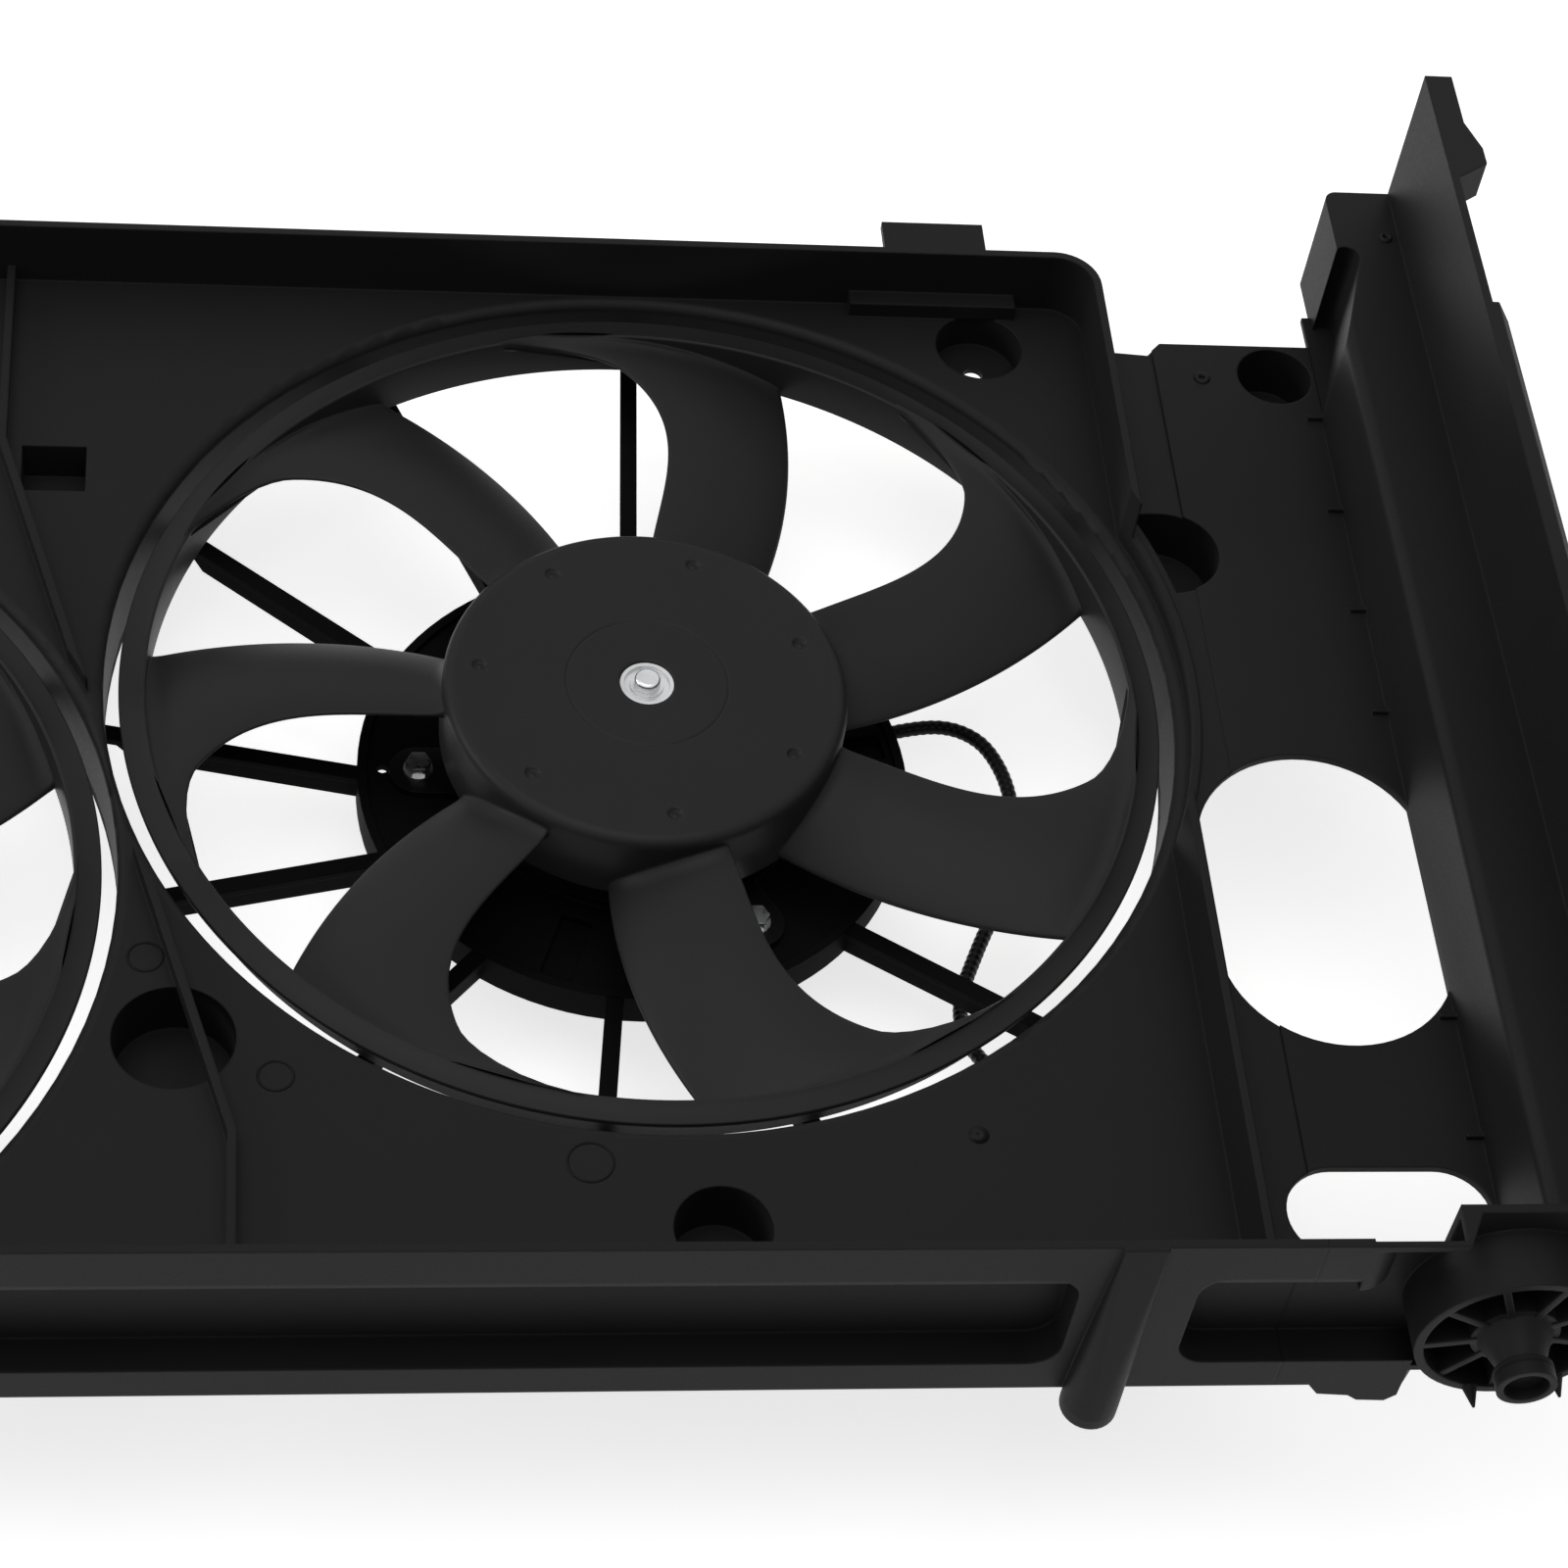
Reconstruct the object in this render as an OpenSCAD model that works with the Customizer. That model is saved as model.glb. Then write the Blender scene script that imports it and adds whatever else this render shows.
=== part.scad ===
// Twin radiator cooling fan: a moulded shroud with a carrier on each side and two ring fans.
// The part lies on its motors with the radiator side up; X is across the car, Y is up the radiator.
// Lengths are in millimetres. The modules work from the right fan's axis at the ring's top face.

/* [Fans] */
// Outer radius of the fan ring's flange
ring_r = 160; // [156:0.5:162]
// Width of the flange on top of the fan ring
ring_flange_w = 8; // [6:0.5:9]
// Thickness of the fan ring's flange and band
ring_t = 2.4; // [2:0.1:3]
// Depth of the fan ring's band
band_depth = 18; // [16:0.5:19]
// Radius of the fan hub
hub_r = 62.5; // [60:0.5:65]
// Height of the hub face above the ring's top face
hub_rise = 4; // [3:0.5:6]
// Depth of the hub skirt below the ring's top face
hub_skirt = 22; // [20:0.5:23]
// Wall of the hub cup
hub_wall = 2.8; // [2.4:0.1:3.2]
// Number of blades on each fan
blade_count = 7; // [5:1:9]
// Thickness of a blade
blade_t = 2.6; // [2:0.1:3]
// Angle at which the first blade's upper edge leaves the hub
blade_start = 85; // [0:1:90]
// Angle from a blade's upper edge to its lower edge at the hub
blade_wrap = 33; // [28:1:36]
// Height of a blade's bowed middle above its straight chord
blade_camber = 3.2; // [1:0.1:5]
// Distance between the two fan axes along X
fan_pitch = 323; // [320:1:345]
// Distance between the two fan axes along Y
fan_stagger = 76; // [60:1:80]

/* [Shroud tray] */
// Gap between a fan ring and the throat around it
throat_gap = 4.5; // [3.5:0.1:5]
// Depth of the throat below the ring's top face
throat_depth = 22; // [21:0.5:24]
// Height of the tray floor above the ring's top face
floor_rise = 3.5; // [2.5:0.1:5]
// Thickness of the tray floor
floor_t = 2.6; // [2:0.1:3.5]
// Thickness of the tray's upright walls
wall_t = 2.6; // [2:0.1:3.5]
// Height of the tray's rim above the ring's top face
rim_rise = 27.5; // [24:0.5:32]
// Clearance from a fan ring to the tray's far and near walls
wall_gap = 8; // [7.5:0.5:12]
// Distance from a fan axis to the tray's side wall
side_x = 156; // [155:0.5:158]
// Distance from a throat to the wall of the round bay beside it
bay_gap = 4; // [3.6:0.1:6]
// Radius of the tray's corners
corner_r = 12; // [6:1:20]
// Height of the front sill above the ring's top face
sill_rise = 71.5; // [66:0.5:80]
// Depth of the channel in the sill's outer face
channel_depth = 10.5; // [8:0.5:12]
// Radius of the sill's bend into the top of the channel
channel_bend = 6; // [4:0.5:7]
// Height of the channel's lower side above the ring's top face
channel_low = 13.5; // [11:0.5:20]
// Height of the channel's upper side above the ring's top face
channel_high = 50; // [44:1:56]

/* [Carriers] */
// Thickness of the carrier mouldings
carrier_t = 2.6; // [2:0.1:3.2]
// Width of the flat panel between the tray and the column
panel_w = 71.4; // [70:0.1:76]
// Height of the panel above the ring's top face
panel_rise = 11; // [8:0.5:14]
// Distance from the right fan's axis to the panel's far edge
panel_far = 145.5; // [140:0.5:150]
// Height of the column's shelf above the ring's top face
shelf_rise = 48; // [44:1:54]
// Width of the column's shelf
shelf_w = 26; // [24:1:34]
// Radius of the shelf's long edge
shelf_edge = 4; // [3:0.5:6]
// Height of the column's outer wall above the ring's top face
post_rise = 100; // [94:1:112]
// Width of the flange on the column's outer wall
post_flange_w = 7; // [6:1:10]
// Distance from the right fan's axis to the column's far end
column_far = 182; // [174:1:188]
// Length of the hook plate at the top of the column
hook_l = 104; // [90:1:110]
// Length of the wide air hole in the panel
vent_l = 109; // [90:1:115]
// Width of the air hole in the panel
vent_w = 71; // [60:1:72]
// Distance along Y from a fan's axis to the middle of the air hole beside it
vent_offset = 85.5; // [82:0.5:90]
// Length of the lower oblong hole across the panel
slot_l = 60; // [50:1:63]
// Width of the lower oblong hole
slot_w = 30; // [24:1:32]

/* [Feet] */
// Radius of the spoked foot boss
foot_r = 27.6; // [26:0.2:30]
// Length of the foot boss
foot_l = 20; // [18.5:0.5:24]
// Height of the locating pin's axis above the ring's top face
foot_rise = 36; // [32:0.5:40]
// Radius of the locating pin's round nose
pin_r = 8.3; // [7.5:0.1:9]
// Radius of the locating pin's waist, where a rubber grommet sits
waist_r = 6.4; // [5:0.1:7]
// Length of the locating pin beyond the boss
pin_l = 15; // [13:1:20]
// Number of spokes in the foot boss
spoke_count = 9; // [6:1:12]

/* [Motors] */
// Outer radius of the motor can
can_r = 50; // [46:0.5:52]
// Wall of the motor can
can_t = 1.8; // [1.4:0.1:2.2]
// Length of the motor can
can_l = 64; // [60:1:70]
// Radius of the motor shaft
shaft_r = 4; // [3:0.1:4.5]
// Radial running clearance of the shaft in its bearings
shaft_clear = 0.05; // [0.02:0.01:0.08]
// Outer radius of the ball bearings
bearing_r = 11; // [10:0.5:12]
// Width of the ball bearings
bearing_w = 7; // [5:0.5:8]
// Depth of the motor seat below the ring's top face
seat_depth = 43; // [40:1:48]
// Outer radius of the spider's motor ring
seat_r = 87; // [84:1:92]
// Radius on which the motor screws lie
lug_r = 68; // [66:0.5:72]
// Radius of the motor lead's sheath
lead_r = 2.4; // [1.6:0.1:3]
// Height of the struts that carry the motor ring
strut_h = 14; // [10:1:16]
// Thickness of the struts
strut_t = 3.4; // [2.6:0.1:4]

/* [Hidden] */
$fn = 48;
tiny = 0.01;

// places of the two fans
right_fan = [0, 0];
left_fan = [-fan_pitch, -fan_stagger];
mid_x = -fan_pitch / 2;

// heights of the tray
floor_z = floor_rise;
floor_low = floor_z - floor_t;
far_y = ring_r + wall_gap;
near_y = -(fan_stagger + ring_r + wall_gap);
sill_y = near_y - wall_t;
throat_r = ring_r + throat_gap;
left_side_x = -fan_pitch - side_x;
bay_r = throat_r + bay_gap;

// stack of the motor, from the fan down
can_top = -10;
can_end = can_top - can_l;
cap_t = 3;
bearing_seat_t = 2.4;
nose_z = can_top - can_t - bearing_w;
tail_z = can_end - cap_t - bearing_w;
motor_end = tail_z - 2;
shaft_top = hub_rise + 2.4;
shaft_round = 1.2;
shaft_low = tail_z + 0.5;
core_high = can_top - 14;
core_low = core_high - 32;

// gland of the motor lead in the can's side
gland_r = 4.5;
gland_l = 5.2;
gland_z = can_end + 8;
gland_angle = 25.6;
seat_gap = 0.25;
gland_reach = can_r + gland_l + seat_gap;
lead_start = [gland_reach * cos(gland_angle), gland_reach * sin(gland_angle), gland_z];

// part frame: the middle of the part's footprint, on the floor
foot_out = 7;
lug_out = 12;
pin_nose_y = sill_y - foot_out - pin_l;
far_reach = max(column_far, far_y + wall_t + lug_out);
origin = [mid_x, (pin_nose_y + far_reach) / 2, motor_end];

// moves a module's own frame to the part's frame
module place() {
    translate(-origin) children();
}

// moves a fan's parts to that fan's axis
module at_fan(fan) {
    translate([fan[0], fan[1], 0]) children();
}

// mirrors a right-hand piece to the left end of the part
module to_left() {
    translate([2 * mid_x, 0, 0]) mirror([1, 0, 0]) children();
}

// ring between two radii and two heights
module tube(r_out, r_in, z_low, z_high) {
    translate([0, 0, z_low]) difference() {
        cylinder(r = r_out, h = z_high - z_low);
        translate([0, 0, -1]) cylinder(r = r_in, h = z_high - z_low + 2);
    }
}

// box between two corners
module block(low, high) {
    translate(low) cube(high - low);
}

// rectangle with round corners between two corner points
module round_rect(low, high, r) {
    translate([low[0] + r, low[1]]) square([high[0] - low[0] - 2 * r, high[1] - low[1]]);
    translate([low[0], low[1] + r]) square([high[0] - low[0], high[1] - low[1] - 2 * r]);
    for (x = [low[0] + r, high[0] - r]) for (y = [low[1] + r, high[1] - r])
        translate([x, y]) circle(r = r);
}

// blade surface
blade_in = hub_r - hub_wall / 2;
band_in = ring_r - ring_flange_w;
band_out = band_in + ring_t;
blade_out = band_in + ring_t / 2;
blade_steps = 9;
chord_steps = 8;

// share of the way from hub to ring
function span(r) = (r - hub_r) / (band_in - hub_r);
// angle of the upper edge, which sweeps forward at the tip
function high_edge(u) = -9.6 * u + 20.6 * u * u * u;
// angle of the lower edge
function low_edge(u) = -blade_wrap + 15 * u;
// height of the lower edge
function low_height(u) = -(hub_skirt - 2.5) + 4.5 * u;
// height of the upper edge
function high_height(u) = -3.4 + 1.2 * u;
// point on the middle of the blade at radius r and chord share c, moved up by t
function blade_point(r, c, t) = let (u = span(r),
    a = low_edge(u) + (high_edge(u) - low_edge(u)) * c,
    z = low_height(u) + (high_height(u) - low_height(u)) * c + 4 * blade_camber * c * (1 - c) + t)
    [r * cos(a), r * sin(a), z];
// radii of the blade's sections
function blade_radius(i) = blade_in + (blade_out - blade_in) * i / blade_steps;
// half thickness, full in the middle and thin at the two edges
function half_t(c) = blade_t / 2 * (0.45 + 0.55 * sqrt(4 * c * (1 - c)));

module blade() {
    ring = 2 * (chord_steps + 1);
    points = [for (i = [0:blade_steps]) each concat(
        [for (k = [0:chord_steps]) let (c = k / chord_steps) blade_point(blade_radius(i), c, half_t(c))],
        [for (k = [chord_steps:-1:0]) let (c = k / chord_steps)
            blade_point(blade_radius(i), c, -half_t(c))])];
    sides = [for (i = [0:blade_steps - 1]) for (k = [0:ring - 1]) let (n = (k + 1) % ring)
        each [[i * ring + k, i * ring + n, (i + 1) * ring + n],
              [i * ring + k, (i + 1) * ring + n, (i + 1) * ring + k]]];
    root = [for (k = [0:chord_steps - 1]) each [[k, ring - 1 - k, ring - 2 - k], [k, ring - 2 - k, k + 1]]];
    last = blade_steps * ring;
    tip = [for (k = [0:chord_steps - 1]) each
        [[last + k, last + ring - 2 - k, last + ring - 1 - k],
         [last + k, last + k + 1, last + ring - 2 - k]]];
    polyhedron(points = points, faces = concat(sides, root, tip));
}

// hub cup: a flat face with a rounded edge, a skirt and stiffening ribs inside
hub_edge_r = 4;
insert_r = 8.5;
boss_r = 13;
boss_l = 8;
nut_low = hub_rise - 2.2;
nut_t = 0.6;
module hub_cup() {
    plate_low = hub_rise - hub_wall;
    rotate_extrude() difference() {
        union() {
            translate([insert_r, plate_low]) square([hub_r - hub_edge_r - insert_r, hub_wall]);
            translate([hub_r - hub_wall, -hub_skirt]) square([hub_wall, hub_skirt + hub_rise - hub_edge_r]);
            translate([hub_r - hub_edge_r, hub_rise - hub_edge_r]) intersection() {
                circle(r = hub_edge_r);
                square(hub_edge_r);
            }
            translate([insert_r, plate_low - boss_l]) square([boss_r - insert_r, boss_l + tiny]);
        }
        translate([hub_r - hub_edge_r - 2, plate_low - 2 * hub_edge_r])
            square([hub_edge_r + 2 - hub_wall, 2 * hub_edge_r]);
    }
    for (i = [0:2 * blade_count - 1]) rotate([0, 0, i * 180 / blade_count])
        block([boss_r - 1, -0.9, plate_low - 6], [hub_r - hub_wall + 0.5, 0.9, plate_low + 0.5]);
}

// ring around the blade tips: a flange on top of a short band
module fan_ring() {
    rotate_extrude($fn = 96) union() {
        translate([band_in, -band_depth]) square([ring_t, band_depth]);
        translate([band_in, -ring_t]) square([ring_flange_w, ring_t]);
    }
}

dimple_r = 51.5;
dimple_angle = 19;
groove_r = 25;
module impeller() {
    color("#252627") {
        difference() {
            union() {
                hub_cup();
                fan_ring();
                for (i = [0:blade_count - 1]) rotate([0, 0, blade_start - i * 360 / blade_count]) blade();
            }
            for (i = [0:blade_count - 1]) rotate([0, 0, dimple_angle + i * 360 / blade_count])
                translate([dimple_r, 0, hub_rise - 0.8]) cylinder(r = 2.4, h = 2, $fn = 24);
            tube(groove_r + 0.6, groove_r - 0.6, hub_rise - 0.5, hub_rise + 1);
        }
    }
}

// steel bush moulded into the hub
module hub_insert() {
    color("#b9bbbd") {
        tube(insert_r, shaft_r, hub_rise - hub_wall - boss_l, nut_low);
    }
}

module motor_shaft() {
    color("#d9dbdd") {
        rotate_extrude() {
            translate([0, shaft_low]) square([shaft_r, shaft_top - shaft_round - shaft_low]);
            translate([0, shaft_low]) square([shaft_r - shaft_round, shaft_top - shaft_low]);
            translate([shaft_r - shaft_round, shaft_top - shaft_round]) intersection() {
                circle(r = shaft_round);
                square(shaft_round);
            }
        }
    }
}

// spring nut pressed over the end of the shaft
module shaft_nut() {
    color("#e2e4e6") {
        tube(insert_r - 0.2, shaft_r, nut_low, nut_low + nut_t);
        tube(insert_r - 0.2, insert_r - 1.4, nut_low, nut_low + 1.6);
        tube(shaft_r + 1.2, shaft_r, nut_low, nut_low + 1.4);
    }
}

// laminated core with open slots
slot_n = 12;
core_r = can_r - can_t - 9;
module armature_core() {
    color("#6e7073") {
        difference() {
            translate([0, 0, core_low]) cylinder(r = core_r, h = core_high - core_low);
            translate([0, 0, core_low - 1]) cylinder(r = shaft_r, h = core_high - core_low + 2);
            for (i = [0:slot_n - 1]) rotate([0, 0, i * 360 / slot_n])
                block([16, -3.2, core_low - 1], [core_r - 3, 3.2, core_high + 1]);
            for (i = [0:slot_n - 1]) rotate([0, 0, i * 360 / slot_n])
                block([core_r - 4, -1.2, core_low - 1], [core_r + 1, 1.2, core_high + 1]);
        }
    }
}

// copper end windings and the bars that run through the slots
module windings() {
    color("#a8622c") {
        end_h = 6;
        for (z = [core_high + 0.2, core_low - end_h - 0.2]) tube(core_r - 4, 15, z, z + end_h);
        for (i = [0:slot_n - 1]) rotate([0, 0, i * 360 / slot_n])
            block([17, -2.6, core_low - 0.5], [core_r - 5, 2.6, core_high + 0.5]);
    }
}

comm_r = 11;
module commutator() {
    color("#b5733a") {
        tube(comm_r, shaft_r, can_end + 1.5, core_low - 7);
    }
}

module motor_can() {
    color("#2b2c2d") {
        difference() {
            translate([0, 0, can_end]) cylinder(r = can_r, h = can_l);
            translate([0, 0, can_end - 1]) cylinder(r = can_r - can_t, h = can_l - can_t + 1);
            translate([0, 0, can_top - can_t - 1]) cylinder(r = shaft_r + 2, h = can_t + 2);
            for (i = [0:5]) rotate([0, 0, i * 60 + 30])
                translate([30, 0, can_top - can_t - 1]) cylinder(r = 4, h = can_t + 2);
        }
        tube(bearing_r + bearing_seat_t, bearing_r, nose_z, can_top - can_t + tiny);
        translate([0, 0, gland_z]) rotate([0, 90, gland_angle])
            translate([0, 0, can_r - can_t / 2]) cylinder(r = gland_r, h = gland_l + can_t / 2);
    }
}

module end_cap() {
    color("#222324") {
        translate([0, 0, can_end - cap_t]) difference() {
            union() {
                cylinder(r = can_r, h = cap_t);
                cylinder(r = can_r - can_t - 0.1, h = cap_t + 3);
            }
            translate([0, 0, -1]) cylinder(r = bearing_r, h = cap_t + 5);
            translate([0, 0, cap_t]) cylinder(r = can_r - can_t - 2.6, h = 4);
            for (i = [0:3]) rotate([0, 0, i * 90 + 45]) translate([33, 0, -1]) cylinder(r = 3, h = cap_t + 2);
        }
        tube(bearing_r + bearing_seat_t, bearing_r, tail_z, can_end - cap_t + tiny);
        translate([0, 0, motor_end]) cylinder(r = bearing_r + bearing_seat_t, h = tail_z - motor_end + tiny);
        for (i = [0:5]) rotate([0, 0, i * 60])
            block([bearing_r + 1, -1, motor_end + 2], [can_r - 8, 1, can_end - cap_t + tiny]);
    }
}

// four curved magnets glued inside the can
magnet_t = 7.5;
module magnets() {
    color("#3c3a38") {
        difference() {
            tube(can_r - can_t - 0.1, can_r - can_t - magnet_t, core_low - 3, core_high + 3);
            for (i = [0:1]) rotate([0, 0, i * 90])
                block([-can_r, -6, core_low - 4], [can_r, 6, core_high + 4]);
        }
    }
}

// one ball bearing's rings at each end of the shaft
module bearings() {
    color("#c8cacc") {
        for (z = [nose_z, tail_z]) difference() {
            tube(bearing_r - 0.02, shaft_r + shaft_clear, z + 0.1, z + bearing_w - 0.1);
            for (side = [z - 0.4, z + bearing_w - 0.6]) tube(bearing_r - 2, shaft_r + 2, side, side + 1);
        }
    }
}

// moulded card that holds the two brushes on the commutator
module brush_card() {
    color("#6b5b45") {
        card_z = can_end + 3.2;
        tube(can_r - can_t - 3.2, comm_r + 3, card_z, card_z + 2);
        for (a = [0, 180]) rotate([0, 0, a]) {
            block([comm_r + 4, -6, card_z + 1.5], [can_r - 14, 6, card_z + 7]);
            block([comm_r + 0.3, -3.5, card_z + 2.5], [comm_r + 5, 3.5, card_z + 6.5]);
        }
    }
}

// ring clamped on the can, with three ears for the screws
ear_angles = [60, 180, 300];
flange_t = 3;
module mount_flange() {
    color("#3a3b3d") {
        difference() {
            union() {
                tube(can_r + 5, can_r, -seat_depth, -seat_depth + flange_t);
                tube(can_r + 2, can_r, -seat_depth, -seat_depth + 9);
                for (a = ear_angles) rotate([0, 0, a]) {
                    block([can_r + 1, -9, -seat_depth], [lug_r, 9, -seat_depth + flange_t]);
                    translate([lug_r, 0, -seat_depth]) cylinder(r = 9, h = flange_t);
                }
            }
            for (a = ear_angles) rotate([0, 0, a])
                translate([lug_r, 0, -seat_depth - 1]) cylinder(r = 2.7, h = flange_t + 2);
        }
    }
}

screw_r = 2.6;
module motor_screw() {
    color("#d5d7d9") {
        translate([0, 0, -seat_depth - 9]) cylinder(r = screw_r, h = 9 + flange_t);
        translate([0, 0, -seat_depth + flange_t]) cylinder(r = 4.6, h = 1);
        translate([0, 0, -seat_depth + flange_t + 1]) cylinder(r = 4, h = 3.4, $fn = 6);
    }
}

// struts from the throat to the motor ring, spaced unevenly to keep the fan quiet
strut_angles = [34, 88, 118, 150, 180, 203, 234, 263, 287, 317];
foot_ring_w = 5;
seat_t = 3;
seat_in = can_r + 4;
bead_w = 5.4;
bead_t = 2.6;
module strut() {
    r_in = seat_r - seat_t / 2;
    r_out = throat_r + foot_ring_w / 2;
    z_in = -seat_depth + 1;
    z_out = -throat_depth - 0.6;
    foot = [[r_out, z_out - 2.6], [throat_r - 1.5, z_out - 2.6], [throat_r - 9, z_out - strut_h + 2]];
    rotate([90, 0, 0]) translate([0, 0, -strut_t / 2]) linear_extrude(strut_t)
        polygon(concat([[r_in, z_in], [r_out, z_out]], foot, [[r_in, z_in - strut_h + 4]]));
    // bead along the upper edge
    rotate([90, 0, 0]) translate([0, 0, -bead_w / 2]) linear_extrude(bead_w)
        polygon([[r_in, z_in], [r_out, z_out], [r_out, z_out - bead_t], [r_in, z_in - bead_t]]);
}

// the way from one fan's axis to the other's, halfway which the two spiders part
fan_way = [fan_pitch, fan_stagger];
module spider(towards) {
    color("#1d1e1f") {
        difference() {
            union() {
                tube(throat_r + foot_ring_w, throat_r, -throat_depth - 4, -throat_depth);
                tube(seat_r, seat_in, -seat_depth - seat_t, -seat_depth);
                tube(seat_r, seat_r - 3, -seat_depth - 10, -seat_depth + 2);
                tube(seat_in + 3, seat_in, -seat_depth - 12, -seat_depth - 1);
                for (a = strut_angles) rotate([0, 0, a]) strut();
                for (i = [0:11]) rotate([0, 0, i * 30 + 15])
                    block([seat_in + 2, -1, -seat_depth - 9], [seat_r - 2, 1, -seat_depth - 1]);
                for (a = ear_angles) rotate([0, 0, a])
                    translate([lug_r, 0, -seat_depth - 10]) cylinder(r = 5.5, h = 10);
            }
            for (a = ear_angles) rotate([0, 0, a])
                translate([lug_r, 0, -seat_depth - 11]) cylinder(r = screw_r, h = 12);
            for (a = [10, 130, 250]) rotate([0, 0, a])
                block([seat_in + 5, -5, -seat_depth - 11], [seat_r - 5, 5, -seat_depth + 1]);
            for (a = ear_angles) rotate([0, 0, a - 2])
                translate([lug_r + 11, 0, -seat_depth - 11]) cylinder(r = 1.8, h = 14);
            rotate([0, 0, towards]) block([(norm(fan_way) - seat_gap) / 2, -throat_r / 2, -2 * seat_depth],
                                          [norm(fan_way), throat_r / 2, 0]);
        }
    }
}

// outline of the tray's straight walls inside, moved out by grow
module tray_box(grow) {
    round_rect([left_side_x - grow, near_y - grow], [side_x + grow, far_y + grow], corner_r + grow);
}

// the same with a round bay beside each fan
module tray_outline(grow) {
    tray_box(grow);
    intersection() {
        union() {
            translate(right_fan) circle(r = bay_r + grow, $fn = 96);
            translate(left_fan) circle(r = bay_r + grow, $fn = 96);
        }
        translate([left_side_x - 40, near_y - grow])
            square([side_x - left_side_x + 80, far_y - near_y + 2 * grow]);
    }
}

// section of the sill's outer side with all that lies behind it, drawn in Y and Z and set back by inset
sill_deep = 30;
module sill_section(inset) {
    front = sill_y + inset;
    back = sill_y + channel_depth + inset;
    end = sill_y + sill_deep;
    bend_y = sill_y + channel_bend;
    bend_z = channel_high + channel_bend;
    translate([front, floor_low]) square([end - front, channel_low - inset - floor_low]);
    translate([back, floor_low]) square([end - back, sill_rise - floor_low]);
    translate([bend_y, channel_high + inset]) square([end - bend_y, sill_rise - channel_high - inset]);
    translate([front, bend_z]) square([end - front, sill_rise - bend_z]);
    translate([bend_y, bend_z]) circle(r = channel_bend - inset);
}

// the sill's skin between two places along X, with the channel and the bend above it
module sill(x_low, x_high) {
    translate([x_low, 0, 0]) rotate([90, 0, 90]) linear_extrude(x_high - x_low) difference() {
        sill_section(0);
        sill_section(wall_t);
    }
}

// stretch that closes the channel, with the round ends of the channels on both sides
channel_end_r = 9;
module sill_stop(x_low, x_high) {
    reach = 3 * channel_end_r;
    difference() {
        block([x_low - channel_end_r, sill_y, channel_low - 1],
              [x_high + channel_end_r, sill_y + channel_depth + 1, channel_high + channel_bend]);
        for (x = [x_low - reach, x_high]) translate([0, sill_y + channel_depth + 2, 0]) rotate([90, 0, 0])
            linear_extrude(channel_depth + 4)
                round_rect([x, channel_low], [x + reach, channel_high + channel_bend], channel_end_r);
    }
}

// finger that stands out of the sill and grows towards the floor
finger_x = 112;
finger_w = 16;
stop_w = 16;
module sill_finger() {
    hull() {
        block([finger_x - 8, sill_y - 1, sill_rise - 3], [finger_x + 4, sill_y + 1, sill_rise]);
        translate([finger_x - 5, sill_y - 3, -3]) cylinder(r = finger_w / 2, h = 4, $fn = 32);
    }
}

// round pocket in a floor, cut by its own drill and given a cup below
module pocket_cup(at, r, top, depth) {
    translate([at[0], at[1], top - depth - floor_t]) cylinder(r = r + wall_t, h = depth + floor_t + tiny);
}
module pocket_cut(at, r, top, depth) {
    translate([at[0], at[1], top - depth]) cylinder(r = r, h = depth + 1);
}

// pockets of the tray: place, radius and depth
bolt_at = [120, 149];
bolt_places = [bolt_at, [2 * mid_x - bolt_at[0], bolt_at[1]]];
bolt_r = 3.3;
bolt_pocket_r = 14.5;
bolt_depth = 13;
round_at = [-141.5, -133];
round_r = 17.5;
sill_pocket_at = [10, -197];
sill_pocket_r = 14;
deep = 20;

// flare of the throat, from its bore to the tray floor
flare_r = 3.4;
module throat_cut() {
    translate([0, 0, -throat_depth - 1]) cylinder(r = throat_r, h = throat_depth + floor_z + 2, $fn = 96);
    translate([0, 0, floor_z]) rotate_extrude($fn = 96) difference() {
        translate([throat_r - 1, -flare_r]) square([flare_r + 1, flare_r + 1]);
        translate([throat_r + flare_r, -flare_r]) circle(r = flare_r, $fn = 32);
    }
}
module throat_wall() {
    translate([0, 0, -throat_depth])
        cylinder(r = throat_r + wall_t, h = throat_depth + floor_low + tiny, $fn = 96);
    translate([0, 0, floor_low - 4]) cylinder(r = throat_r + flare_r + 1.6, h = 4 + tiny, $fn = 96);
}

// locating bar and lug on the far wall
bar_x = 77;
bar_l = 56;
bar_h = 6;
lug_x = 87;
lug_l = 34;

// blind pocket for a clip in the tray floor: two corners
clip_low = [-192, 75];
clip_high = [-172, 94];
clip_depth = 14;

// low rib between the two fans: straight at both ends and slanted between them
divider_h = 6;
divider_end = [-198, 92];
divider_near = [2 * mid_x - divider_end[0], -fan_stagger - divider_end[1]];
module divider() {
    slant = divider_near - divider_end;
    difference() {
        translate([0, 0, floor_z - tiny]) linear_extrude(divider_h) union() {
            translate([divider_end[0] - wall_t / 2, divider_end[1]])
                square([wall_t, far_y - divider_end[1] + tiny]);
            translate([divider_near[0] - wall_t / 2, near_y]) square([wall_t, divider_near[1] - near_y]);
            translate(divider_end) rotate(atan2(slant[1], slant[0]))
                translate([0, -wall_t / 2]) square([norm(slant), wall_t]);
            for (p = [divider_end, divider_near]) translate(p) circle(r = wall_t / 2, $fn = 24);
        }
        for (fan = [right_fan, left_fan]) at_fan(fan) cylinder(r = throat_r + flare_r + 1, h = 40, $fn = 96);
    }
}

module clip_pocket(grow, low, high) {
    block([clip_low[0] - grow, clip_low[1] - grow, low], [clip_high[0] + grow, clip_high[1] + grow, high]);
}

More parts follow.
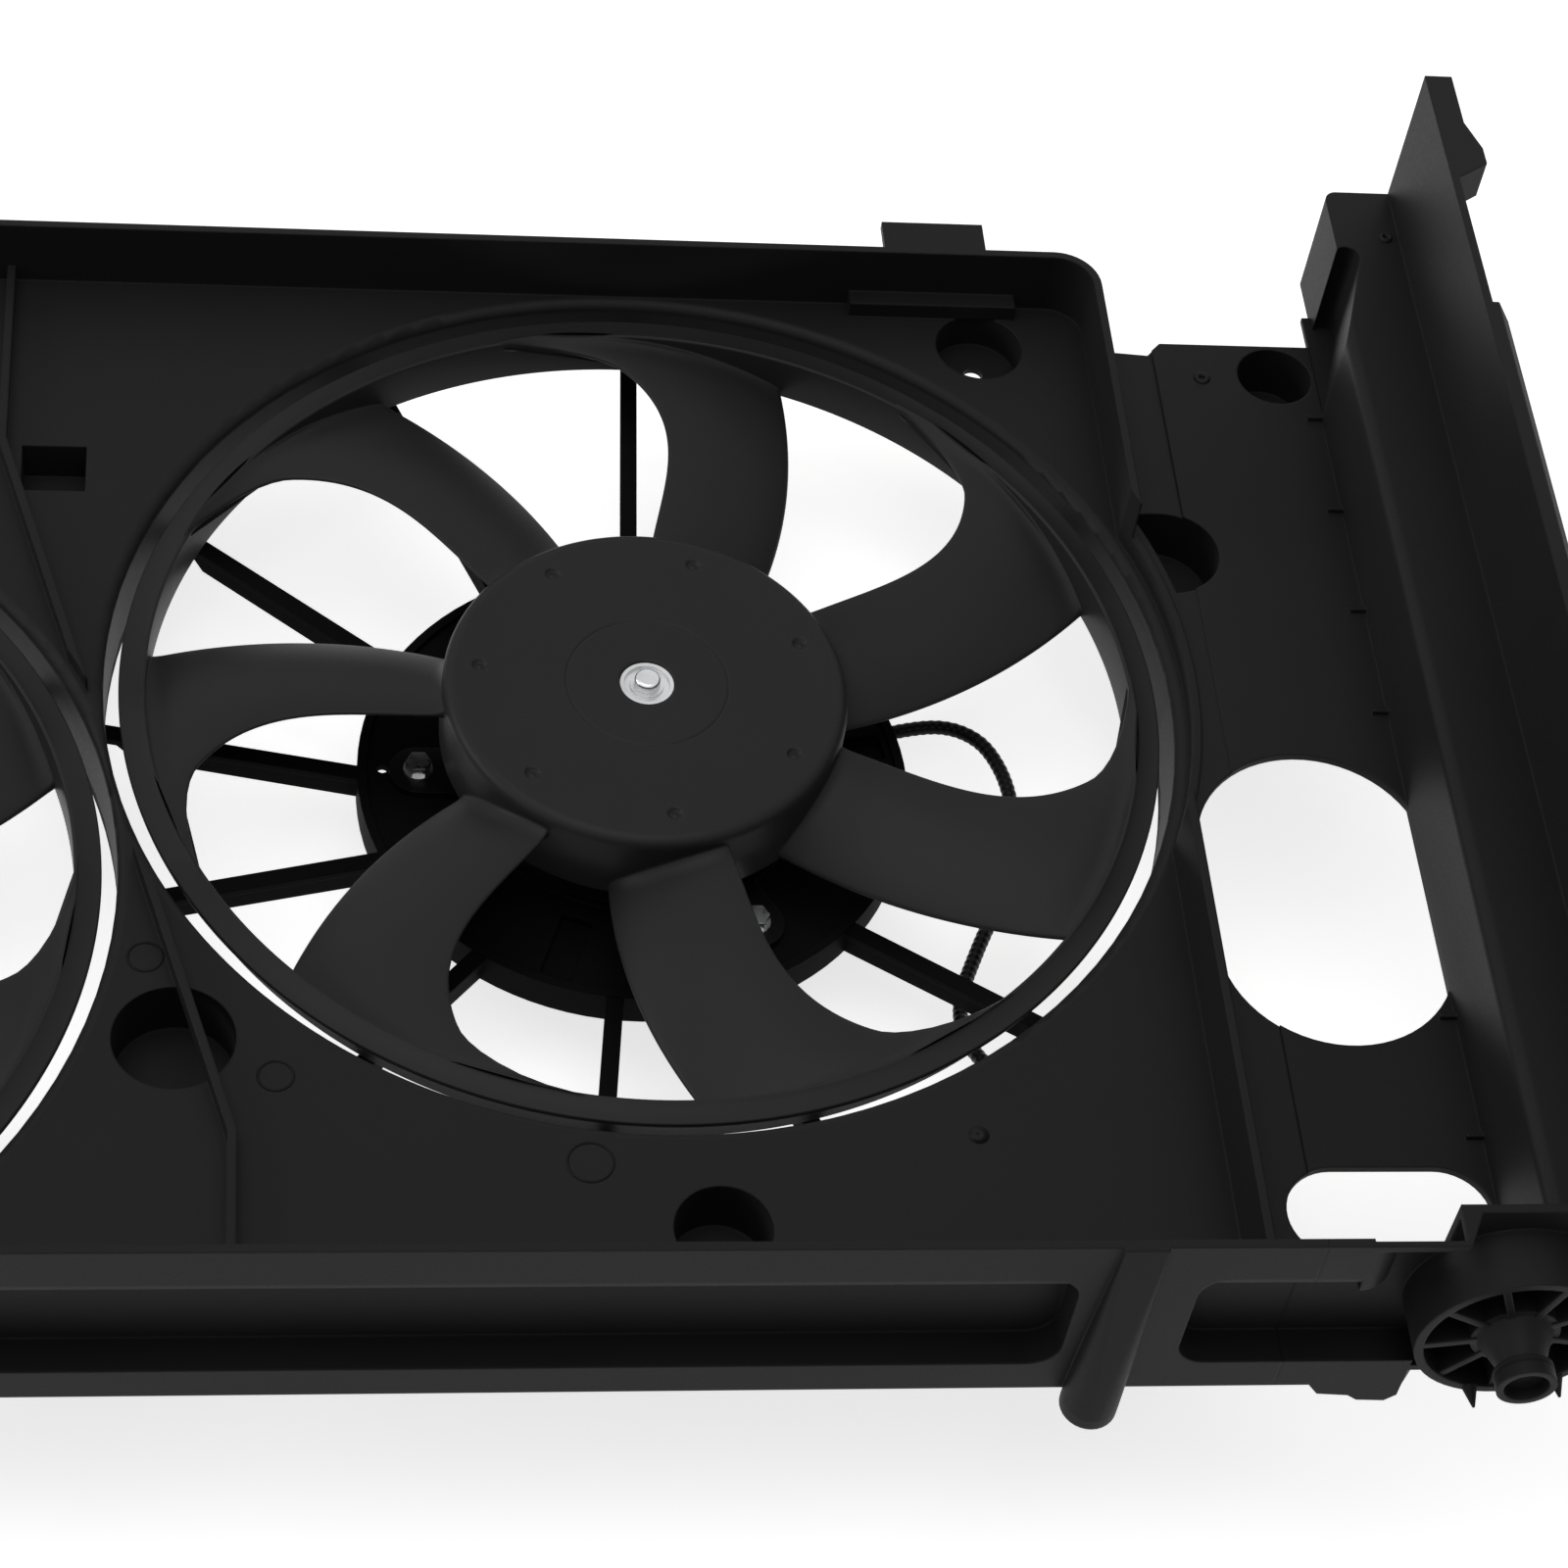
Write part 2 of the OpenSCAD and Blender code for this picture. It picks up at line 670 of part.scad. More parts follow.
module shroud_tray() {
    color("#232425") {
        difference() {
            union() {
                translate([0, 0, floor_low]) linear_extrude(floor_t) tray_outline(wall_t);
                difference() {
                    translate([0, 0, floor_low]) linear_extrude(rim_rise - floor_low) tray_box(wall_t);
                    translate([0, 0, floor_z]) linear_extrude(rim_rise) tray_box(0);
                }
                translate([0, 0, floor_low]) linear_extrude(panel_rise - floor_low) tray_outline(wall_t);
                at_fan(right_fan) throat_wall();
                at_fan(left_fan) throat_wall();
                for (at = bolt_places) pocket_cup(at, bolt_pocket_r, floor_low, bolt_depth - floor_t);
                pocket_cup(round_at, round_r, floor_low, deep - floor_t);
                pocket_cup(sill_pocket_at, sill_pocket_r, floor_low, deep - floor_t);
                clip_pocket(wall_t, floor_low - clip_depth, floor_low + tiny);
            }
            translate([0, 0, floor_z]) linear_extrude(rim_rise) tray_outline(0);
            at_fan(right_fan) throat_cut();
            at_fan(left_fan) throat_cut();
            for (at = bolt_places) {
                pocket_cut(at, bolt_pocket_r, floor_z, bolt_depth);
                translate([at[0], at[1], floor_z - bolt_depth - 10]) cylinder(r = bolt_r, h = 20);
            }
            pocket_cut(round_at, round_r, floor_z, deep);
            pocket_cut(sill_pocket_at, sill_pocket_r, floor_z, deep);
            // the channel in the sill runs on over the near wall
            block([left_side_x - wall_t - 1, sill_y - 1, channel_low],
                  [side_x + wall_t + 1, sill_y + channel_depth, rim_rise + 1]);
            clip_pocket(0, floor_z - clip_depth, floor_z + 1);
        }
        sill(left_side_x - wall_t, side_x + wall_t);
        sill_stop(finger_x - stop_w, finger_x + stop_w);
        sill_stop(2 * mid_x - finger_x - stop_w, 2 * mid_x - finger_x + stop_w);
        sill_finger();
        to_left() sill_finger();
        // locating bar at the foot of the far wall, and the lug outside its rim
        block([bar_x, far_y - 6, floor_z - tiny], [bar_x + bar_l, far_y + tiny, floor_z + bar_h]);
        for (x = [lug_x, 2 * mid_x - lug_x - lug_l])
            block([x, far_y + wall_t - tiny, rim_rise - 3], [x + lug_l, far_y + wall_t + lug_out, rim_rise]);
        divider();
    }
}

// right carrier: a panel level with the bay, and a stepped column that holds the radiator's side
panel_x = side_x + wall_t;
column_x = panel_x + panel_w;
post_x = column_x + shelf_w;
end_x = post_x + post_flange_w;
column_low = panel_rise - carrier_t;
post_far = column_far - hook_l;

// the column from above, set back by inset: a wide stretch, then an arm behind a slanted slot
arm_x = column_x + 4;
arm_start = 140;
slot_top = [237, 151.5];
slot_way = [-8.5, -30];
slot_half = 4.2;
module column_plan(inset) {
    reach = post_x + 1;
    difference() {
        union() {
            translate([column_x + inset, sill_y]) square([reach - column_x - inset, arm_start - sill_y]);
            intersection() {
                round_rect([arm_x + inset, arm_start - 10], [reach + 10, column_far - inset], 4);
                translate([column_x, arm_start - tiny]) square([reach - column_x, column_far]);
            }
        }
        translate(slot_top) rotate(atan2(slot_way[1], slot_way[0])) {
            circle(r = slot_half + inset);
            translate([0, -slot_half - inset]) square([norm(slot_way) * 2, 2 * (slot_half + inset)]);
        }
    }
}

// everything under the shelf's skin, set back by inset, with the long edge rounded
module column_body(inset) {
    intersection() {
        translate([0, 0, column_low]) linear_extrude(shelf_rise - column_low) column_plan(inset);
        translate([0, column_far, 0]) rotate([90, 0, 0]) linear_extrude(column_far - sill_y) {
            translate([column_x + inset, 0]) square([2 * shelf_w, shelf_rise - shelf_edge]);
            translate([column_x + shelf_edge, 0]) square([2 * shelf_w, shelf_rise - inset]);
            translate([column_x + shelf_edge, shelf_rise - shelf_edge]) circle(r = shelf_edge - inset);
        }
    }
}

// the outer wall's flange, chamfered along its outer edge and turned down into a lip
lip_h = 6;
lip_chamfer = 2.5;
module post_flange() {
    intersection() {
        translate([0, post_far, 0]) rotate([90, 0, 0]) linear_extrude(post_far - sill_y)
            polygon([[post_x, post_rise], [end_x - lip_chamfer, post_rise],
                     [end_x, post_rise - lip_chamfer], [end_x, post_rise - lip_h],
                     [end_x - carrier_t, post_rise - lip_h],
                     [end_x - carrier_t, post_rise - carrier_t - 1], [post_x, post_rise - carrier_t]]);
        translate([0, 0, post_rise - lip_h - 1]) linear_extrude(lip_h + 2)
            polygon([[post_x, sill_y], [end_x, sill_y], [end_x, post_far - 6],
                     [end_x - 2, post_far], [post_x, post_far]]);
    }
}

// three-cornered stiffeners under the shelf
gusset_t = 1.8;
gusset_places = [-190, -120, -50, 20, 90];
module gusset(y) {
    top = shelf_rise - carrier_t + 0.5;
    left = column_x + carrier_t - 0.5;
    translate([0, y + gusset_t / 2, 0]) rotate([90, 0, 0]) linear_extrude(gusset_t)
        polygon([[left, column_low + 4], [left, top], [post_x + 1, top], [post_x + 1, top - 6]]);
}

module column() {
    difference() {
        column_body(0);
        column_body(carrier_t);
    }
    block([post_x, sill_y, shelf_rise - carrier_t], [post_x + carrier_t, column_far, post_rise]);
    post_flange();
    for (y = gusset_places) gusset(y);
}

module stadium(width, height) {
    r = min(width, height) / 2;
    if (width > height) {
        translate([-width / 2 + r, -r]) square([width - 2 * r, 2 * r]);
        for (x = [-1, 1]) translate([x * (width / 2 - r), 0]) circle(r = r);
    } else {
        translate([-r, -height / 2 + r]) square([2 * r, height - 2 * r]);
        for (y = [-1, 1]) translate([0, y * (height / 2 - r)]) circle(r = r);
    }
}

// places on the panel
panel_pocket_r = 12.5;
panel_pocket = [column_x - panel_pocket_r - 0.5, panel_far - panel_pocket_r - 1.5];
bay_pocket_y = 52;
bay_pocket_w = 37;
bay_pocket_l = 34;
step_x = panel_x + 18;
vent_x = panel_x + 4 + vent_w / 2;
slot_y = -197;
rib_places = [112, 71, 28, -14, -130, -172];

// deep pocket beside the bay, or the cup around it when grown by the wall's thickness
module bay_pocket(fan_y, vent_side, grow) {
    edge = wall_t - grow;
    difference() {
        translate([panel_x + 9, fan_y - vent_side * bay_pocket_y])
            stadium(bay_pocket_w + 2 * grow, bay_pocket_l + 2 * grow);
        translate([0, fan_y]) circle(r = bay_r + wall_t + edge, $fn = 96);
        translate([0, fan_y - bay_r]) square([panel_x + edge, 2 * bay_r]);
    }
}

// hook at the far end of the post, seen from above
hook_w = 9;
module hook_outline() {
    translate([post_x, post_far]) square([carrier_t, hook_l]);
    polygon([[post_x, column_far - 45], [post_x + carrier_t, column_far - 48],
             [post_x + hook_w + 4, column_far - 41], [post_x + hook_w + 4, column_far - 34],
             [post_x + hook_w, column_far - 22], [post_x + hook_w, column_far], [post_x, column_far]]);
}

// waisted locating pin with a flared root, two collars and a hollow nose, along Z from its face
nose_l = 4;
module foot_pin() {
    rotate_extrude() {
        polygon([[0, 3], [pin_r + 3.4, 3], [pin_r + 1, -1.5], [waist_r, nose_l + 2.2 - pin_l],
                 [pin_r, nose_l + 1.5 - pin_l], [pin_r, nose_l + 0.8 - pin_l],
                 [pin_r - 0.5, nose_l + 0.6 - pin_l], [pin_r - 0.5, nose_l + 0.2 - pin_l],
                 [pin_r, nose_l - pin_l], [pin_r, -pin_l], [pin_r - 2, -pin_l],
                 [pin_r - 2.5, nose_l - pin_l], [0, nose_l - pin_l]]);
    }
}

// spoked boss around the pin, open towards the near side and stood out of the sill
boss_deep = 13;
foot_x = end_x - 46;
module foot_boss() {
    translate([foot_x, sill_y - foot_out, foot_rise]) rotate([-90, 0, 0]) {
        tube(foot_r, foot_r - 2.6, 0, foot_l);
        translate([0, 0, boss_deep]) cylinder(r = foot_r - 1, h = wall_t);
        for (i = [0:spoke_count - 1]) rotate([0, 0, i * 360 / spoke_count + 10])
            block([pin_r + 1.5, -1.1, 0.6], [foot_r - 2, 1.1, boss_deep + 1]);
        translate([0, 0, 1]) cylinder(r = pin_r + 4, h = boss_deep);
        foot_pin();
    }
}

// the sill beside the foot: its upper and lower bands turn back to the channel's rear wall
shoulder_x = foot_x - foot_r - channel_depth - 7.5;
web_end = foot_x - 19.8;
band_end = foot_x - 22;
module sill_shoulder() {
    rear = sill_y + channel_depth;
    block([shoulder_x - tiny, rear, floor_low], [end_x, rear + wall_t, sill_rise]);
    // upper band: a quarter turn under a flat web
    translate([shoulder_x, rear, 0]) intersection() {
        union() {
            tube(channel_depth, channel_depth - wall_t, channel_high, sill_rise);
            translate([0, 0, channel_high]) cylinder(r = channel_depth, h = wall_t);
        }
        block([-tiny, -channel_depth - 1, channel_high - 1], [channel_depth + 1, tiny, sill_rise + 1]);
    }
    translate([0, 0, sill_rise - wall_t]) linear_extrude(wall_t)
        polygon([[shoulder_x - tiny, sill_y], [web_end, sill_y], [web_end + 5, rear + tiny],
                 [shoulder_x - tiny, rear + tiny]]);
    // lower band and the channel's floor above it
    translate([0, 0, floor_low]) linear_extrude(channel_low - floor_low)
        polygon([[shoulder_x - tiny, sill_y], [band_end, sill_y], [band_end + 8, rear + tiny],
                 [band_end + 8 - 1.3 * wall_t, rear + tiny], [band_end - wall_t, sill_y + wall_t],
                 [shoulder_x - tiny, sill_y + wall_t]]);
    translate([0, 0, channel_low - wall_t]) linear_extrude(wall_t)
        polygon([[shoulder_x - tiny, sill_y], [band_end, sill_y], [band_end + 8, rear + tiny],
                 [shoulder_x - tiny, rear + tiny]]);
    // tongue below the lower band
    translate([0, sill_y + wall_t, 0]) rotate([90, 0, 0]) linear_extrude(wall_t)
        polygon([[band_end - 27, floor_low + 1], [band_end - 23, -4], [band_end - 14, -5],
                 [band_end - 11, -7.5], [band_end - 3, -8], [band_end, -5], [band_end, floor_low + 1]]);
}

module carrier(fan_y, vent_side) {
    vent_y = fan_y + vent_side * vent_offset;
    color("#242526") {
        difference() {
            union() {
                block([panel_x, sill_y, column_low], [column_x + 1, panel_far, panel_rise]);
                column();
                translate([0, 0, post_rise - 14]) linear_extrude(14) hook_outline();
                pocket_cup(panel_pocket, panel_pocket_r, column_low + tiny, deep - floor_t);
                translate([0, 0, column_low - deep]) linear_extrude(deep + tiny)
                    bay_pocket(fan_y, vent_side, wall_t);
            }
            // cut for the tray and its bay
            translate([0, fan_y, -deep]) cylinder(r = bay_r + wall_t, h = 4 * deep, $fn = 96);
            translate([0, 0, -1]) linear_extrude(post_rise) intersection() {
                translate([vent_x, vent_y]) stadium(vent_w, vent_l);
                translate([panel_x, near_y]) square([column_x - panel_x, far_y - near_y]);
            }
            translate([panel_x + 40, slot_y, 0]) linear_extrude(panel_rise + 1) stadium(slot_l, slot_w);
            pocket_cut(panel_pocket, panel_pocket_r, panel_rise, deep);
            translate([0, 0, panel_rise - deep]) linear_extrude(deep + 1) bay_pocket(fan_y, vent_side, 0);
            // shallow step along the panel, and its shorter far edge
            block([panel_x - 1, sill_y, panel_rise - 0.8], [step_x, column_far, panel_rise + 1]);
            translate([0, 0, column_low - 1]) linear_extrude(carrier_t + 2)
                polygon([[panel_x - 1, panel_far + 1], [panel_x - 1, panel_far - 3.5],
                         [step_x - 1.5, panel_far - 5], [step_x + 4, panel_far + 1]]);
        }
        // short ribs in the corner between panel and column
        for (y = rib_places) if (abs(y - vent_y) > vent_l / 2 - vent_w / 4)
            block([column_x - 5, y - 0.8, panel_rise - tiny], [column_x + tiny, y + 0.8, panel_rise + 1.6]);
        sill(panel_x, shoulder_x);
        sill_shoulder();
        foot_boss();
    }
}

module right_carrier() {
    carrier(0, -1);
}

module left_carrier() {
    to_left() carrier(-fan_stagger, 1);
}

// route of a motor lead, from the can to the connector behind the tray
lead_route = [lead_start, [60, 28, -66], [72, 31, -64], [88, 34, -60], [104, 34, -57], [115, 27, -55],
              [121, 14, -54], [123, -2, -54], [121, -20, -54], [114, -40, -54],
              [105, -60, -53], [98, -78, -51], [96, -94, -47], [99, -108, -42],
              [105, -120, -36], [113, -131, -31], [121, -140, -29], [128, -146, -28]];
lead_sides = 8;

function unit(v) = v / norm(v);
function along(path, i) = unit(path[min(i + 1, len(path) - 1)] - path[max(i - 1, 0)]);

// a round lead swept along a path
module lead_tube(path, r) {
    n = len(path);
    points = [for (i = [0:n - 1])
        let (t = along(path, i), side = unit(cross(t, [0, 0, 1])), up = cross(side, t))
        for (k = [0:lead_sides - 1])
            let (a = k * 360 / lead_sides) path[i] + r * cos(a) * side + r * sin(a) * up];
    sides = [for (i = [0:n - 2]) for (k = [0:lead_sides - 1]) let (m = (k + 1) % lead_sides)
        each [[i * lead_sides + k, (i + 1) * lead_sides + m, i * lead_sides + m],
              [i * lead_sides + k, (i + 1) * lead_sides + k, (i + 1) * lead_sides + m]]];
    first = [[for (k = [0:lead_sides - 1]) k]];
    last = [[for (k = [lead_sides - 1:-1:0]) (n - 1) * lead_sides + k]];
    color("#161616") polyhedron(points = points, faces = concat(sides, first, last));
}

// plug housing behind the tray, with the lead's outlet facing the fan
module connector() {
    color("#1b1c1d") {
        p = lead_route[len(lead_route) - 1];
        translate(p) rotate([0, 0, atan2(p[1], p[0])]) {
            block([0, -9, -8], [34, 9, 6]);
            block([6, -11, -5], [16, 11, 3]);
            block([20, -3, 5], [30, 3, floor_low - p[2]]);
        }
    }
}

place() shroud_tray();
place() right_carrier();
place() left_carrier();
place() at_fan(right_fan)  // right_spider
    spider(180 + atan2(fan_stagger, fan_pitch));
place() at_fan(left_fan)  // left_spider
    spider(atan2(fan_stagger, fan_pitch));
place() at_fan(right_fan) motor_can();  // right_motor_can
place() at_fan(left_fan) rotate([0, 0, 180]) motor_can();  // left_motor_can
place() at_fan(right_fan) end_cap();  // right_end_cap
place() at_fan(left_fan) end_cap();  // left_end_cap
place() at_fan(right_fan) mount_flange();  // right_mount_flange
place() at_fan(left_fan) mount_flange();  // left_mount_flange
place() at_fan(right_fan) magnets();  // right_magnets
place() at_fan(left_fan) magnets();  // left_magnets
place() at_fan(right_fan) bearings();  // right_bearings
place() at_fan(left_fan) bearings();  // left_bearings
place() at_fan(right_fan) brush_card();  // right_brush_card
place() at_fan(left_fan) brush_card();  // left_brush_card
place()  // motor_screws
    for (fan = [right_fan, left_fan]) at_fan(fan)
        for (a = ear_angles) rotate([0, 0, a]) translate([lug_r, 0, 0]) motor_screw();
place() at_fan(right_fan) connector();  // right_connector
place() at_fan(left_fan) rotate([0, 0, 180]) connector();  // left_connector
place() at_fan(right_fan) lead_tube(lead_route, lead_r);  // right_lead
place() at_fan(left_fan)  // left_lead
    rotate([0, 0, 180]) lead_tube(lead_route, lead_r);
place() at_fan(right_fan) impeller();  // right_impeller
place() at_fan(right_fan) hub_insert();  // right_hub_insert
place() at_fan(right_fan) motor_shaft();  // right_shaft
place() at_fan(right_fan) armature_core();  // right_armature
place() at_fan(right_fan) windings();  // right_windings
place() at_fan(right_fan) commutator();  // right_commutator
place() at_fan(right_fan) shaft_nut();  // right_shaft_nut
place() at_fan(left_fan) impeller();  // left_impeller
place() at_fan(left_fan) hub_insert();  // left_hub_insert
place() at_fan(left_fan) motor_shaft();  // left_shaft
place() at_fan(left_fan) armature_core();  // left_armature
place() at_fan(left_fan) windings();  // left_windings
place() at_fan(left_fan) commutator();  // left_commutator
place() at_fan(left_fan) shaft_nut();  // left_shaft_nut
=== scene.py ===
# Twin radiator cooling fan: finishes, moulding marks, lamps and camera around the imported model.
import bmesh
import bpy
import math
from mathutils import Matrix, Vector
from mathutils.bvhtree import BVHTree


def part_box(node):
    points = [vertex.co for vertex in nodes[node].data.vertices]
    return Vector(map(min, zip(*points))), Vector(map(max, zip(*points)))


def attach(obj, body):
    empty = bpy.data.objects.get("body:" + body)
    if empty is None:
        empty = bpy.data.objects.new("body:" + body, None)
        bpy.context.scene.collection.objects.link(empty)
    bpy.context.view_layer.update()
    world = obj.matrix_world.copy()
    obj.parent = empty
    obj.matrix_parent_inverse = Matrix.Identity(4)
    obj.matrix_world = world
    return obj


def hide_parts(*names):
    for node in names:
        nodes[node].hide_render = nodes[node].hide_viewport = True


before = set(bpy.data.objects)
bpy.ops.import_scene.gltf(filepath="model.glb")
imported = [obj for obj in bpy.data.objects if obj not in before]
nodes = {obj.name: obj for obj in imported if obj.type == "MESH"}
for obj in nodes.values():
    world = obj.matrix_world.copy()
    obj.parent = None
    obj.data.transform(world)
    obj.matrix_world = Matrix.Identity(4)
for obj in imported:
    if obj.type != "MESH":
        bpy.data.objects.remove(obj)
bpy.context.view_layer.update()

MM = 0.001

# the two fan axes at the rings' top faces, found from the impellers, whose hubs stand a little higher
HUB_TOP = 4.0
FANS = {}
for side in ("right", "left"):
    low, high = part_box(side + "_impeller")
    FANS[side] = Vector(((low.x + high.x) / 2, (low.y + high.y) / 2, high.z - HUB_TOP * MM))

# the line half-way between the fans, in millimetres from the right fan's axis
MIDDLE_X = -161.5


def at_fan(x, y, z, side="right"):
    """A place given in millimetres from a fan's axis and its ring's top face."""
    return FANS[side] + Vector((x, y, z)) * MM


def mirrored(x, side):
    """A place on the right half, or its mirror image on the left half."""
    return x if side == "right" else 2 * MIDDLE_X - x


# colours and nodes

def linear(hex_colour):
    """An sRGB hex colour as linear red, green, blue and alpha."""
    parts = [int(hex_colour[i:i + 2], 16) / 255 for i in (1, 3, 5)]
    return tuple(p / 12.92 if p <= 0.04045 else ((p + 0.055) / 1.055) ** 2.4 for p in parts) + (1.0,)


def add(tree, kind, inputs=None, **settings):
    """Adds a shader node, sets its properties, and sets or links its inputs."""
    made = tree.nodes.new(kind)
    for name, value in settings.items():
        setattr(made, name, value)
    for name, value in (inputs or {}).items():
        if isinstance(value, bpy.types.NodeSocket):
            tree.links.new(value, made.inputs[name])
        else:
            made.inputs[name].default_value = value
    return made


def blank(name):
    """An empty node material with one set of object coordinates in metres."""
    material = bpy.data.materials.new(name)
    material.use_nodes = True
    tree = material.node_tree
    tree.nodes.clear()
    place = add(tree, "ShaderNodeTexCoord").outputs["Object"]
    return material, tree, place


LUMPS_PER_UNIT = 2.2


def lumps(size_mm):
    """The scale of a noise with lumps of about this size: one unit of the noise holds about 2.2 of them."""
    return 1 / (size_mm * MM * LUMPS_PER_UNIT)


# the middle of the noise's range, and of two noises added, which is spread over all of a colour or roughness
NOISE_LOW, NOISE_HIGH = 0.3, 0.7
SUM_LOW, SUM_HIGH = 0.7, 1.3
# how far the roughness varies to each side over a surface
MOULDED_GIVE, METAL_GIVE = 0.05, 0.06
# how strongly a surface mirrors the white room: an eroded grain hardly does; the motor's arms even less, a
# duller sheen that goes with their painted shade
MATT_SHINE = 0.10
ARM_SHINE = 0.03
# real eroded grain and turned lines are mostly finer than 0.2 mm and wouldn't show in the render, so they are
# drawn as coarse as they need to show, at 0.35 to 1.6 mm


def moulded(name, dark, light, rough, grain_mm, grain_depth_mm, edge_mm, patch_mm=70, shine=MATT_SHINE):
    """A moulded plastic: patchy colour, a spark-eroded grain, slow waves and eased edges."""
    material, tree, place = blank(name)
    patches = add(tree, "ShaderNodeTexNoise", {"Vector": place, "Scale": lumps(patch_mm), "Detail": 4.0,
                                               "Roughness": 0.55}).outputs["Fac"]
    grain = add(tree, "ShaderNodeTexNoise", {"Vector": place, "Scale": lumps(grain_mm), "Detail": 2.0,
                                             "Roughness": 0.7}).outputs["Fac"]
    waves = add(tree, "ShaderNodeTexNoise", {"Vector": place, "Scale": lumps(patch_mm * 0.6), "Detail": 2.0,
                                             "Roughness": 0.55}).outputs["Fac"]
    tint = add(tree, "ShaderNodeMapRange", {"Value": patches, "From Min": NOISE_LOW, "From Max": NOISE_HIGH,
                                            "To Min": 0.0, "To Max": 1.0}).outputs["Result"]
    colour = add(tree, "ShaderNodeMix", {"Factor": tint, "A": linear(dark), "B": linear(light)},
                 data_type="RGBA").outputs[2]
    both = add(tree, "ShaderNodeMath", {0: patches, 1: grain}, operation="ADD").outputs[0]
    gloss = add(tree, "ShaderNodeMapRange", {"Value": both, "From Min": SUM_LOW, "From Max": SUM_HIGH,
                                             "To Min": rough - MOULDED_GIVE,
                                             "To Max": rough + MOULDED_GIVE}).outputs["Result"]
    edges = add(tree, "ShaderNodeBevel", {"Radius": edge_mm * MM}, samples=4).outputs["Normal"]
    wavy = add(tree, "ShaderNodeBump", {"Height": waves, "Distance": 0.6 * MM, "Strength": 0.35,
                                        "Normal": edges}).outputs["Normal"]
    grained = add(tree, "ShaderNodeBump", {"Height": grain, "Distance": grain_depth_mm * MM, "Strength": 0.55,
                                           "Normal": wavy}).outputs["Normal"]
    surface = add(tree, "ShaderNodeBsdfPrincipled", {"Base Color": colour, "Roughness": gloss, "IOR": 1.53,
                                                     "Specular IOR Level": shine, "Normal": grained})
    add(tree, "ShaderNodeOutputMaterial", {"Surface": surface.outputs[0]})
    return material


def metal(name, dark, light, rough, scratch_mm, edge_mm, streak=14):
    """A metal with fine drawn or turned lines, stretched along Z by streak, and a little colour change."""
    material, tree, place = blank(name)
    drawn = add(tree, "ShaderNodeMapping", {"Vector": place, "Scale": (1, 1, 1 / streak)}).outputs[0]
    lines = add(tree, "ShaderNodeTexNoise", {"Vector": drawn, "Scale": lumps(scratch_mm), "Detail": 2.0,
                                             "Roughness": 0.55}).outputs["Fac"]
    patches = add(tree, "ShaderNodeTexNoise", {"Vector": place, "Scale": lumps(9), "Detail": 4.0,
                                               "Roughness": 0.55}).outputs["Fac"]
    tint = add(tree, "ShaderNodeMapRange", {"Value": patches, "From Min": NOISE_LOW, "From Max": NOISE_HIGH,
                                            "To Min": 0.0, "To Max": 1.0}).outputs["Result"]
    colour = add(tree, "ShaderNodeMix", {"Factor": tint, "A": linear(dark), "B": linear(light)},
                 data_type="RGBA").outputs[2]
    gloss = add(tree, "ShaderNodeMapRange", {"Value": lines, "From Min": NOISE_LOW, "From Max": NOISE_HIGH,
                                             "To Min": rough - METAL_GIVE,
                                             "To Max": rough + METAL_GIVE}).outputs["Result"]
    edges = add(tree, "ShaderNodeBevel", {"Radius": edge_mm * MM}, samples=4).outputs["Normal"]
    lined = add(tree, "ShaderNodeBump", {"Height": lines, "Distance": 0.01 * MM, "Strength": 0.3,
                                         "Normal": edges}).outputs["Normal"]
    surface = add(tree, "ShaderNodeBsdfPrincipled", {"Base Color": colour, "Roughness": gloss,
                                                     "Metallic": 1.0, "Normal": lined})
    add(tree, "ShaderNodeOutputMaterial", {"Surface": surface.outputs[0]})
    return material


# materials

# glass-filled nylon, injection moulded in a spark-eroded tool: a fine matt grain that still sheens
shroud_nylon = moulded("glass-filled nylon, moulded", "#171717", "#1E1E1E", 0.52, 0.5, 0.05, 1.0)
# the same nylon in a finer tool: smoother, so that the blades carry long soft highlights
fan_nylon = moulded("glass-filled nylon, fine tool", "#252525", "#2C2C2C", 0.44, 0.4, 0.025, 0.7)
# the motor spiders' arms: the shroud's nylon with painted shade, a darker colour and a duller sheen than the
# shroud for the shade they lie in below the fans
arm_nylon_painted_shade = moulded("glass-filled nylon, painted shade", "#0C0C0C", "#111111", 0.62, 0.5, 0.05, 0.8,
                    shine=ARM_SHINE)
# glass-filled polyester of the plug housing: a little glossier
plug_polyester = moulded("glass-filled polyester, moulded", "#171717", "#1E1E1E", 0.40, 0.35, 0.02, 0.4, 25)
# ribbed polypropylene sheath: waxy and dark
sheath_polypropylene = moulded("polypropylene sheath, extruded", "#121212", "#191919", 0.38, 0.4, 0.02,
                               0.2, 20)
# steel with black electrocoat: an even, slightly orange-peeled satin; its black is partly the coat's own and
# partly painted shade, darker for the shade round the motors below the fans
coated_steel_and_shade = moulded("electrocoated steel, pressed", "#0E0E0E", "#141414", 0.36, 1.4, 0.03, 0.4, 40)
# zinc-plated steel, turned and rolled: bright with fine rings
plated_steel = metal("zinc-plated steel, turned", "#AEAFB0", "#D2D3D4", 0.30, 1.6, 0.15)
# varnished laminations of the armature: grey steel sheets on edge
laminated_steel = metal("varnished electrical steel, stacked", "#5B5E61", "#7B7E81", 0.42, 0.5, 0.2,
                        streak=0.08)
# enamelled copper wire: warm and glossy
enamelled_copper = metal("enamelled copper, wound", "#7A3E17", "#B4622B", 0.30, 0.8, 0.3)
# sintered ferrite: dull dark grey
ferrite = moulded("sintered ferrite, ground", "#2C2B2A", "#393735", 0.62, 0.6, 0.03, 0.4, 20)
# phenolic paper board: brown with a faint weave
phenolic = moulded("phenolic board, punched", "#54412C", "#6B563B", 0.48, 0.7, 0.03, 0.2, 15)

